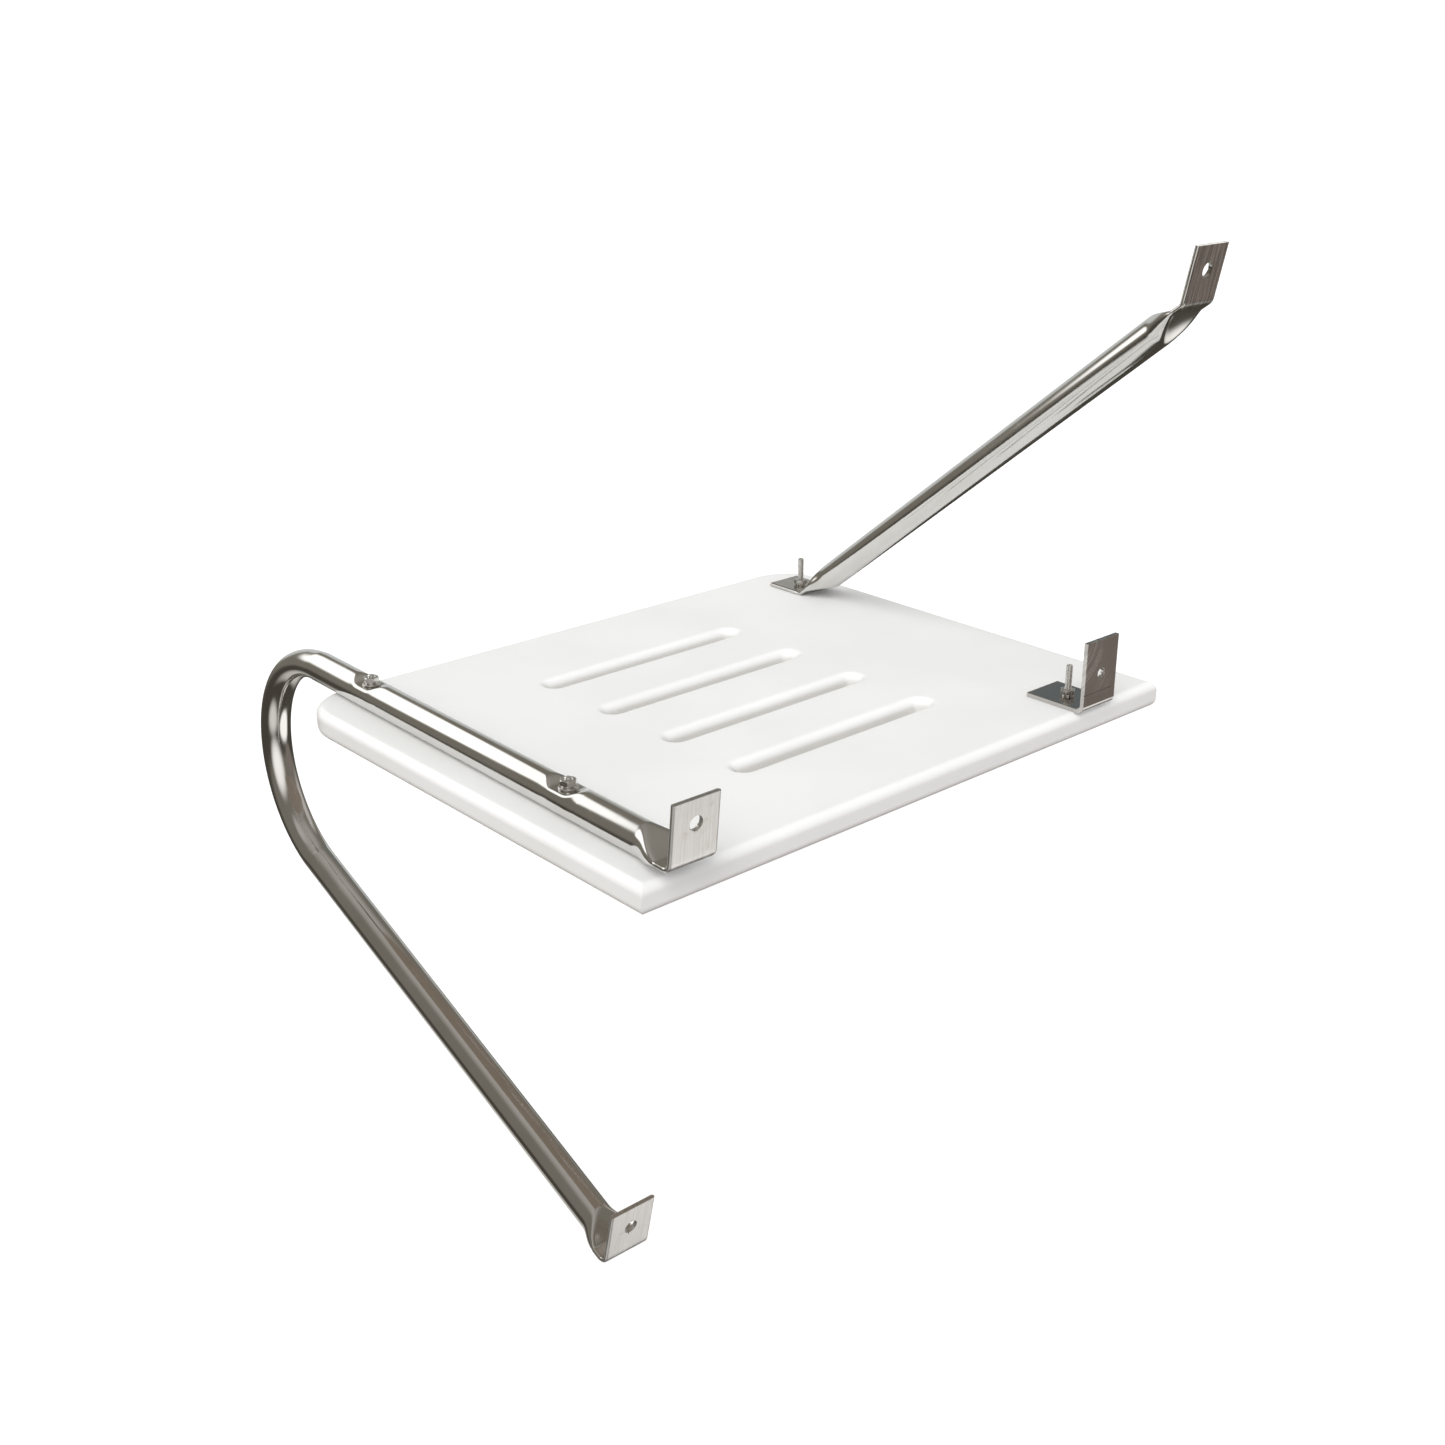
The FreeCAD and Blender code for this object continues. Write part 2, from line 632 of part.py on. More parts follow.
def strut_tube():
    """Drawn with its foot's screw hole at the local origin, on the board's face."""
    gauge = size("flat_thickness")
    rise = size("strut_rise")
    slope = Vector(0, -math.cos(math.radians(rise)), math.sin(math.radians(rise)))
    height = size("strut_reach") * math.tan(math.radians(rise))

    foot_corner = Vector(0, -size("strut_foot_setback"), 0)
    top_corner = foot_corner + Vector(-size("strut_shift"), -size("strut_reach"), height)
    top_turn = Rotation(X_AXIS, -rise)
    foot_strip = folded_strip("strut_foot_side", Placement(foot_corner, UPRIGHT), "strut_foot_length",
                              "strut_stub", "flat_thickness", "fold_radius", "180 - sizes.strut_rise")
    tab_opening = "90 + sizes.strut_tab_lean + sizes.strut_rise"
    tab_strip = folded_strip("strut_tab_side", Placement(top_corner, top_turn * UPRIGHT), "strut_stub",
                             "strut_tab_length", "flat_thickness", "fold_radius", tab_opening)

    inward = Vector(0, slope.z, -slope.y)
    foot_flat = foot_corner + slope * size("strut_stub") + inward * gauge / 2
    top_flat = top_corner - slope * size("strut_stub") + inward * gauge / 2
    axis = (top_flat - foot_flat).normalize()
    foot_round = foot_flat + axis * size("strut_taper_length")
    top_round = top_flat - axis * size("strut_taper_length")
    flat_turn = top_turn * FACING
    side = axis.cross(Vector(0, 0, 1)).normalize()
    round_turn = Rotation(side, side.cross(-axis) * -1, -axis * -1, "ZXY")
    foot_taper, foot_bore = tube_end("foot_end", Placement(foot_round, round_turn),
                                     Placement(foot_flat, flat_turn), "strut_radius", "strut_flat_width")
    top_taper, top_bore = tube_end("top_end", Placement(top_round, round_turn),
                                   Placement(top_flat, flat_turn), "strut_radius", "strut_flat_width")
    length = (top_round - foot_round).Length
    along = Placement(foot_round, Rotation(Z_AXIS, axis))
    run = part("Cylinder", "strut_run", along, Radius="sizes.strut_radius")
    run_bore = part("Cylinder", "strut_run_bore", along, Radius="sizes.strut_radius - sizes.wall")
    for cylinder in (run, run_bore):
        cylinder.Height = length
    outside = combine("MultiFuse", "strut_outside", run, foot_taper, top_taper,
                      widen("strut_foot", foot_strip, "strut_flat_width"),
                      widen("strut_tab", tab_strip, "strut_flat_width"))
    bore = combine("MultiFuse", "strut_bore", run_bore, foot_bore, top_bore)
    shell = cut("strut_shell", outside, bore)

    foot_hole = part("Cylinder", "strut_foot_hole", None,
                     Placement__Base__z="-sizes.flat_thickness",
                     Radius="sizes.screw_radius + sizes.hole_clearance",
                     Height="3 * sizes.flat_thickness")
    hole = tab_hole("strut_tab_hole", top_corner, "strut_tab_lean", "strut_tab_length")
    cutters = combine("MultiFuse", "strut_cutters", foot_hole, hole)
    strut = cut("strut_tube", shell, cutters)
    strut.Placement = Placement(
        Vector(size("strut_screw_across"), size("strut_screw_out"), size("board_thickness") / 2), Rotation())
    return strut


# ---------------------------------------------------------------- angle bracket


def angle_bracket():
    """Folded strip with one hole in each leaf, drawn with the outer corner of its fold at the origin."""
    body = doc.addObject("PartDesign::Body", "angle_bracket")
    body.Label = "angle_bracket"
    strip = body.newObject("PartDesign::Pad", "angle")
    strip.Profile = folded_strip("angle_side", Placement(Vector(0, 0, 0), UPRIGHT), "bracket_leaf",
                                 "bracket_plate", "bracket_thickness", "bracket_fold_radius", "90", body)
    strip.SideType = "Symmetric"
    bind(strip, Length="sizes.bracket_width")
    doc.recompute()

    screw_out = "sizes.bracket_screw_out + sizes.bracket_overhang"
    leaf_hole = body.newObject("PartDesign::SubtractiveCylinder", "leaf_hole")
    bind(
        leaf_hole,
        Placement__Base__y=screw_out,
        Radius="sizes.screw_radius + sizes.hole_clearance",
        Height="2 * sizes.bracket_thickness",
    )
    plate_hole = body.newObject("PartDesign::SubtractiveCylinder", "plate_hole")
    plate_hole.Placement = Placement(Vector(0, 0, 0), Rotation(X_AXIS, -90))
    bind(
        plate_hole,
        Placement__Base__z="sizes.bracket_hole_height",
        Radius="sizes.bracket_hole_radius",
        Height="2 * sizes.bracket_thickness",
    )
    body.Tip = plate_hole
    body.Placement = Placement(
        Vector(size("bracket_screw_across"), -size("bracket_overhang"), size("board_thickness") / 2), Rotation())
    return body


# ---------------------------------------------------------------- hardware


def countersunk_screw(name, place, turn):
    """Head flush with the hidden face, shank up through the board, tip chamfered."""
    head = part("Cone", f"{name}_head",
                Radius1="sizes.screw_head_radius", Radius2="sizes.screw_radius",
                Height="sizes.screw_head_radius - sizes.screw_radius")
    shank = part("Cylinder", f"{name}_shank",
                 Radius="sizes.screw_radius", Height="sizes.screw_length - sizes.screw_tip_chamfer")
    tip = part("Cone", f"{name}_tip",
               Placement__Base__z="sizes.screw_length - sizes.screw_tip_chamfer",
               Radius1="sizes.screw_radius", Radius2="sizes.screw_radius - sizes.screw_tip_chamfer",
               Height="sizes.screw_tip_chamfer")
    recess = []
    for number, angle in enumerate((0, 90)):
        half = Vector(-size("recess_length") / 2, -size("recess_width") / 2, -size("recess_depth"))
        slot = part("Box", f"{name}_recess_{number}",
                    Length="sizes.recess_length", Width="sizes.recess_width", Height="2 * sizes.recess_depth")
        spin = Rotation(Z_AXIS, angle)
        slot.Placement = Placement(spin.multVec(half), spin)
        recess.append(slot)
    screw = cut(name, combine("MultiFuse", f"{name}_blank", head, shank, tip),
                combine("MultiFuse", f"{name}_cross", *recess))
    hidden_face = -size("board_thickness") / 2
    screw.Placement = Placement(Vector(place.x, place.y, hidden_face), Rotation(Z_AXIS, turn))
    return screw


def ring(name, radius, thickness, place, height):
    disc = part("Cylinder", f"{name}_disc", Radius=f"sizes.{radius}", Height=f"sizes.{thickness}")
    hole = part("Cylinder", f"{name}_hole", Radius="sizes.screw_radius + sizes.hole_clearance",
                Height=f"sizes.{thickness}")
    washer = cut(name, disc, hole)
    washer.Placement = Placement(Vector(place.x, place.y, height), Rotation())
    return washer


def split_lock_washer(name, place, height, turn):
    disc = part("Cylinder", f"{name}_disc", Radius="sizes.lock_radius", Height="sizes.lock_thickness")
    hole = part("Cylinder", f"{name}_hole", Radius="sizes.screw_radius + sizes.hole_clearance",
                Height="sizes.lock_thickness")
    split = part("Box", f"{name}_split", Placement__Base__y="-sizes.lock_split / 2",
                 Length="2 * sizes.lock_radius", Width="sizes.lock_split", Height="sizes.lock_thickness")
    washer = cut(name, disc, combine("MultiFuse", f"{name}_cutters", hole, split))
    washer.Placement = Placement(Vector(place.x, place.y, height), Rotation(Z_AXIS, turn))
    return washer


def hex_nut(name, place, height, turn):
    """Six flats, with the corners of both faces turned down by a shallow cone."""
    prism = part("Prism", f"{name}_prism", Circumradius="sizes.nut_across / sqrt(3)", Height="sizes.nut_height")
    prism.Polygon = 6
    cones = []
    for side, wide, narrow in (("top", "Radius1", "Radius2"), ("bottom", "Radius2", "Radius1")):
        cones.append(part("Cone", f"{name}_{side}_turning", Height="sizes.nut_height", **{
            wide: "sizes.nut_across / 2 + sizes.nut_chamfer_reach",
            narrow: "sizes.nut_across / 2",
        }))
    bore = part("Cylinder", f"{name}_bore", Radius="sizes.screw_radius + sizes.nut_clearance",
                Height="sizes.nut_height")
    nut = cut(name, combine("MultiCommon", f"{name}_blank", prism, *cones), bore)
    nut.Placement = Placement(Vector(place.x, place.y, height), Rotation(Z_AXIS, turn))
    return nut


def hardware():
    """One screw, lock washer and nut at each place, and a flat washer in each of the rail's two seats."""
    turns = {"rail_outer": 12, "rail_inner": 47, "strut": 8, "bracket": 33}
    pieces = []
    for name, (place, height) in screw_places().items():
        turn = turns[name]
        pieces.append(countersunk_screw(f"{name}_screw", place, turn))
        pieces.append(split_lock_washer(f"{name}_lock_washer", place, height, 2 * turn))
        pieces.append(hex_nut(f"{name}_nut", place, height + size("lock_thickness"), turn))
        if name.startswith("rail"):
            seat = height - size("washer_thickness")
            pieces.append(ring(f"{name}_flat_washer", "washer_radius", "washer_thickness", place, seat))
    return pieces


# ---------------------------------------------------------------- build and export


def check_document(pieces):
    for item in doc.Objects:
        if "Invalid" in item.State or "Error" in item.State:
            raise RuntimeError(f"{item.Name} did not compute: {item.State}")
    for item in pieces:
        shape = item.Shape
        if shape.isNull() or not shape.isValid() or len(shape.Solids) != 1:
            raise RuntimeError(f"{item.Label} isn't one valid solid")


def export(pieces):
    os.makedirs("parts", exist_ok=True)
    for old in os.listdir("parts"):
        os.remove(os.path.join("parts", old))
    if len(pieces) > MAX_FILES:
        raise RuntimeError("too many pieces")
    for item in pieces:
        if len(item.Label) > MAX_NAME:
            raise RuntimeError(f"{item.Label} is too long a name")
        item.Shape.exportStep(os.path.join("parts", f"{item.Label}.step"))
        box = item.Shape.BoundBox
        print(f"{item.Label}: {item.Shape.Volume / 1000:.2f} cm3, "
              f"x {box.XMin:.1f}..{box.XMax:.1f}, y {box.YMin:.1f}..{box.YMax:.1f}, z {box.ZMin:.1f}..{box.ZMax:.1f}")


fill_sheet()
finished = [deck_board(), rail_tube(), strut_tube(), angle_bracket(), *hardware()]
doc.recompute()
check_document(finished)
export(finished)
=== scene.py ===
import json
import math

import bmesh
import bpy
import numpy as np
from mathutils import Matrix, Vector


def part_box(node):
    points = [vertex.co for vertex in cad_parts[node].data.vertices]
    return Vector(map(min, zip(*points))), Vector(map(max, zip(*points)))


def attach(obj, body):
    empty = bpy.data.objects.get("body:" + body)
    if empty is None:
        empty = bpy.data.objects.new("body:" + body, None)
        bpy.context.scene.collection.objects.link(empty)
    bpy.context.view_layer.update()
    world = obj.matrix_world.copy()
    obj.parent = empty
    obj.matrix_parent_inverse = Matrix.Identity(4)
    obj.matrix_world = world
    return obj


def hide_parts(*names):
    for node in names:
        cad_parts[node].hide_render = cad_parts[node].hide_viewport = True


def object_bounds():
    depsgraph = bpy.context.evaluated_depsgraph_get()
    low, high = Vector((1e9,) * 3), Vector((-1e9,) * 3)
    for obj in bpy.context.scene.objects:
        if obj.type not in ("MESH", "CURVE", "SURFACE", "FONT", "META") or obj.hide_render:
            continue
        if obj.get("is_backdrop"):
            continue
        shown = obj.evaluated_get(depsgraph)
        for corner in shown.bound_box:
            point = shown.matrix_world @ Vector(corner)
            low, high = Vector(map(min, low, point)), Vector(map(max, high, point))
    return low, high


# Transom platform, underside up: slotted plastic board, bent rail tube, straight strut tube, angle bracket
# and their fasteners. Everything is in metres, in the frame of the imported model.

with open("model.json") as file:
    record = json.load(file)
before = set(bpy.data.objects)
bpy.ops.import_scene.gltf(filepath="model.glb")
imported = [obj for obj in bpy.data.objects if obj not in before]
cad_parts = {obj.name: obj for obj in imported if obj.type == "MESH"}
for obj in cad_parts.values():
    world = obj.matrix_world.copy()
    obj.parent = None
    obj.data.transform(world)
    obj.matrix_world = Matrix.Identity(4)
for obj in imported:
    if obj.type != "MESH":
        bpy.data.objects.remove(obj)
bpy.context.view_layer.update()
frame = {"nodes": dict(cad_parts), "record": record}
record = frame["record"]
mount = {m["name"]: Vector(m["pos_m"]) for m in record["mounts"]}

MM = 0.001
SIDES = 96
HALVINGS = 40

# What both tubes share.
GAUGE = 3 * MM
FOLD_INNER = 4 * MM
FOLD_OUTER = FOLD_INNER + GAUGE
FOLD_MIDDLE = FOLD_INNER + GAUGE / 2
TAB_HOLE = 4.75 * MM
SCREW_HOLE = 2.5 * MM
LATE_PRESS = 0.7
EARLY_FOLD = 0.4
EVEN_PRESS = 0.85
SOFT_TAPER = 0.45
SLIT = 0.22 * MM
SLIT_DEPTH = 3 * MM
SLIT_INSET = 1.1 * GAUGE
EDGE_BREAK = 0.25 * MM

board_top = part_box("deck_board")[1].z


# ---------------------------------------------------------------- mesh helpers


def new_piece(name, mesh, body, replaced, material):
    """An object for a finished mesh, riding on its body and standing for the node that it replaces."""
    piece = bpy.data.objects.new(name, mesh)
    bpy.context.scene.collection.objects.link(piece)
    mesh.polygons.foreach_set("use_smooth", [True] * len(mesh.polygons))
    mesh.materials.append(material)
    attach(piece, body)
    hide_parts(replaced)


def mesh_from(vertices, faces, name="mesh"):
    """A mesh with its faces turned outwards."""
    mesh = bpy.data.meshes.new(name)
    mesh.from_pydata([tuple(v) for v in vertices], [], faces)
    mesh.validate()
    bm = bmesh.new()
    bm.from_mesh(mesh)
    bmesh.ops.recalc_face_normals(bm, faces=bm.faces)
    bm.to_mesh(mesh)
    bm.free()
    return mesh


def finished(mesh, cutters=(), keep=(), bevel=0.0, angle=35, segments=2):
    """The mesh with the cutters taken away, the keepers intersected and its sharp edges broken."""
    piece = bpy.data.objects.new("work", mesh)
    bpy.context.scene.collection.objects.link(piece)
    helpers = []
    for operation, tools in (("DIFFERENCE", cutters), ("INTERSECT", keep)):
        for tool in tools:
            helper = bpy.data.objects.new("tool", tool)
            bpy.context.scene.collection.objects.link(helper)
            helpers.append(helper)
            change = piece.modifiers.new(operation, "BOOLEAN")
            change.operation = operation
            change.object = helper
            change.solver = "EXACT"
    if bevel:
        broken = piece.modifiers.new("broken_edges", "BEVEL")
        broken.width = bevel
        broken.segments = segments
        broken.limit_method = "ANGLE"
        broken.angle_limit = math.radians(angle)
        broken.use_clamp_overlap = True
        broken.harden_normals = False
        weighted = piece.modifiers.new("normals", "WEIGHTED_NORMAL")
        weighted.keep_sharp = True
    piece.data.polygons.foreach_set("use_smooth", [True] * len(piece.data.polygons))
    bpy.context.view_layer.update()
    result = bpy.data.meshes.new_from_object(piece.evaluated_get(bpy.context.evaluated_depsgraph_get()))
    for item in (piece, *helpers):
        bpy.data.objects.remove(item)
    return result


def on_circle(centre, radius, turn, height):
    """A point on a level circle about centre."""
    return Vector((centre.x + radius * math.cos(turn), centre.y + radius * math.sin(turn), height))


def band(first, second, sides):
    """The faces between two rings of points, given by where each ring starts."""
    return [(first + i, first + (i + 1) % sides, second + (i + 1) % sides, second + i) for i in range(sides)]


def caps(last, sides):
    """The faces that close the first ring of points and the last."""
    return [tuple(range(sides))[::-1], tuple(range(last, last + sides))]


def cylinder(start, end, radius, sides):
    """A closed cylinder between two points."""
    axis = (end - start).normalized()
    across = axis.orthogonal().normalized()
    other = axis.cross(across)
    vertices = []
    for centre in (start, end):
        for step in range(sides):
            turn = math.tau * step / sides
            vertices.append(centre + (across * math.cos(turn) + other * math.sin(turn)) * radius)
    return mesh_from(vertices, band(0, sides, sides) + caps(sides, sides))


def lathe(profile, sides, centre):
    """A closed outline of (radius, height) points turned about the upright line through centre."""
    vertices = []
    for radius, height in profile:
        vertices += [on_circle(centre, radius, math.tau * step / sides, height) for step in range(sides)]
    rows = len(profile)
    faces = []
    for row in range(rows):
        faces += band(row * sides, (row + 1) % rows * sides, sides)
    return mesh_from(vertices, faces)


# ---------------------------------------------------------------- tubes


class Station:
    """One cross-section of a tube: where it is, which way it faces and the outline that it has there."""

    def __init__(self, centre, across, up, outline):
        self.centre = centre
        self.across = across
        self.up = up
        self.outline = outline

    def ring(self):
        return [self.centre + self.across * x + self.up * z for x, z in self.outline]


def stadium(width, height):
    """Points evenly spaced round a pressed section: two flats joined by half circles, from its top middle."""
    radius = height / 2
    flat = max(width - height, 0) / 2
    quarter = flat + radius * math.pi / 2
    points = []
    for step in range(SIDES):
        way = 4 * quarter * step / SIDES
        lap, rest = divmod(way, 2 * quarter)
        if rest < flat:
            x, z = rest, radius
        elif rest < flat + math.pi * radius:
            turn = (rest - flat) / radius
            x, z = flat + radius * math.sin(turn), radius * math.cos(turn)
        else:
            x, z = flat - (rest - flat - math.pi * radius), -radius
        sign = 1 if int(lap) == 0 else -1
        points.append((sign * x, sign * z))
    return points


def dented_circle(radius, dent):
    """Points evenly spaced round a tube whose top is squashed flat. Its sides swell to keep its girth."""
    cut = math.acos((radius - dent) / radius)
    swell = radius * (1 + (cut - math.sin(cut)) / math.pi)
    cut = math.acos((2 * radius - dent - swell) / swell)
    chord = swell * math.sin(cut)
    half = chord + swell * (math.pi - cut)
    points = []
    for step in range(SIDES):
        way = 2 * half * step / SIDES
        side = 1 if way <= half else -1
        way = way if way <= half else 2 * half - way
        if way < chord:
            x, z = way, swell * math.cos(cut)
        else:
            turn = cut + (way - chord) / swell
            x, z = swell * math.sin(turn), swell * math.cos(turn)
        points.append((side * x, z + swell - radius))
    return points


def squashed_circle(girth, height):
    """Points evenly spaced round a tube pressed between flat dies: flats joined by arcs, its girth kept."""
    low, high = girth / math.tau, girth / 4 + height
    for _ in range(HALVINGS):
        radius = (low + high) / 2
        side = math.asin(min(height / 2 / radius, 1))
        around = 4 * radius * (side + math.cos(side))
        low, high = (radius, high) if around < girth else (low, radius)
    chord = radius * math.cos(side)
    points = []
    for step in range(SIDES):
        way = girth * step / SIDES
        lap, rest = divmod(way, girth / 2)
        if rest < chord:
            x, z = rest, height / 2
        elif rest < chord + 2 * radius * side:
            turn = side - (rest - chord) / radius
            x, z = radius * math.cos(turn), radius * math.sin(turn)
        else:
            x, z = chord - (rest - chord - 2 * radius * side), -height / 2
        sign = 1 if int(lap) == 0 else -1
        points.append((sign * x, sign * z))
    return points


def pressed_outline(radius, pressed, flat_width):
    """A tube's outline from round, at 0, to pressed flat with folded edges, at 1.

    Its edges stay creased, as dies leave them, until late in the press, and then fold to half circles.
    """
    girth = math.tau * radius
    height = 2 * radius + (GAUGE - 2 * radius) * pressed
    creased = squashed_circle(girth, height)
    folded = stadium((girth - math.pi * height) / 2 + height, height)
    late = (pressed - LATE_PRESS) / (1 - LATE_PRESS)
    share = EARLY_FOLD + (1 - EARLY_FOLD) * eased(clamped(late))
    widen = 1 + (flat_width / (2 * max(x for x, _ in folded)) - 1) * eased(pressed)
    return [((a + (c - a) * share) * widen, b + (d - b) * share) for (a, b), (c, d) in zip(creased, folded)]


def oval_outline(radius, flattening):
    """A tube that a bend has drawn a little flatter and wider."""
    turns = [math.tau * step / SIDES for step in range(SIDES)]
    wide, flat = radius * (1 + flattening / 2), radius * (1 - flattening)
    return [(wide * math.sin(turn), flat * math.cos(turn)) for turn in turns]


def tube_skin(stations, soften):
    """A closed skin through the stations. Its ends are cut square and show the slit between the two walls."""
    grid = np.array([[tuple(p) for p in station.ring()] for station in stations])
    grid = softened(grid, soften)
    count = len(stations)
    vertices = [Vector(p) for ring in grid for p in ring]
    faces = []
    for row in range(count - 1):
        faces += band(row * SIDES, (row + 1) * SIDES, SIDES)
    for row, inward in ((0, 1), (count - 1, -1)):
        station, nearby = stations[row], stations[row + inward]
        depth = (nearby.centre - station.centre).normalized() * SLIT_DEPTH
        width = 2 * max(x for x, _ in station.outline)
        slit = stadium(width - SLIT_INSET, SLIT)
        start = len(vertices)
        for offset in (Vector((0, 0, 0)), depth):
            vertices += [station.centre + offset + station.across * x + station.up * z for x, z in slit]
        for step in range(SIDES):
            after = (step + 1) % SIDES
            faces.append((row * SIDES + step, row * SIDES + after, start + after, start + step))
            faces.append((start + step, start + after, start + SIDES + after, start + SIDES + step))
        faces.append(tuple(range(start + SIDES, start + 2 * SIDES)))
    return mesh_from(vertices, faces)


def softened(grid, amounts, passes=10):
    """Even out the grid of skin points a little where amounts is above zero, so that creases turn soft."""
    weight = np.array(amounts)[:, None, None]
    for _ in range(passes):
        around = (np.roll(grid, 1, axis=1) + np.roll(grid, -1, axis=1)) / 2
        along = grid.copy()
        along[1:-1] = (grid[:-2] + grid[2:]) / 2
        grid = grid + weight * ((around + along) / 2 - grid)
    return grid


def clamped(share):
    return min(max(share, 0), 1)


def eased(share):
    """The share with a gentle start and end."""
    return share * share * (3 - 2 * share)


def press_share(share, start):
    """How far the press has closed the tube at each share of the taper: nothing up to start, then evenly."""
    closed = max(share - start, 0) / (1 - start)
    return EVEN_PRESS * closed + (1 - EVEN_PRESS) * eased(closed)


class PlanePath:
    """A run of straights and turns in the plane of y and z, sampled into points with a heading."""

    def __init__(self, y, z, heading):
        self.y, self.z, self.heading = y, z, math.radians(heading)
        self.samples = [(self.y, self.z, self.heading)]
        self.marks = [0]

    def straight(self, length, steps):
        """Go straight on."""
        y, z = self.y, self.z
        for step in range(1, steps + 1):
            way = length * step / steps
            self.y, self.z = y + math.cos(self.heading) * way, z + math.sin(self.heading) * way
            self.samples.append((self.y, self.z, self.heading))
        return self.mark()

    def turn(self, radius, degrees, steps):
        """Turn along an arc, towards +Z from +Y where degrees is above zero."""
        side = 1 if degrees > 0 else -1
        start = self.heading
        centre_y = self.y - side * radius * math.sin(start)
        centre_z = self.z + side * radius * math.cos(start)
        for step in range(1, steps + 1):
            self.heading = start + math.radians(degrees) * step / steps
            self.y = centre_y + side * radius * math.sin(self.heading)
            self.z = centre_z - side * radius * math.cos(self.heading)
            self.samples.append((self.y, self.z, self.heading))
        return self.mark()

    def mark(self):
        """Note where a stretch ends, as the number of its last sample."""
        self.marks.append(len(self.samples) - 1)
        return self


def fold_reach(opening):
    """How far a fold's round starts from the corner that its outer faces would meet in."""
    return FOLD_OUTER / math.tan(math.radians(opening) / 2)


# The tubes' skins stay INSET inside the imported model's.
# Rail: deck tab, fold, leg on the board, round bend, diagonal leg, fold, lower tab.
INSET = 0.1 * MM
RAIL_RADIUS = 11.1 * MM - INSET
RAIL_FLAT = 34.5 * MM
RAIL_TOE = math.radians(1.04)
RAIL_OVERHANG = 13.9 * MM
RAIL_REACH = 401 * MM
BEND_RADIUS = 86 * MM
RAIL_FALL = 20.7
DIAGONAL = 399.5 * MM - INSET
DECK_TAB, DECK_LEAN = 43.2 * MM, 6
LOWER_TAB, LOWER_LEAN = 45.4 * MM, 13
FLAT_RUN = 14 * MM
RAIL_TAPER = 30 * MM
DECK_PRESS_START, LOWER_PRESS_START = 0.1, 0.35
BEND_FLATTENING = 0.08
SEAT_DEPTH = 4 * MM
SEAT_HALF = 6 * MM
SEAT_SLOPE = 15 * MM
SEAT_STEEPNESS = 1.5
RAIL_SCREWS = (101.6 * MM, 330.2 * MM)


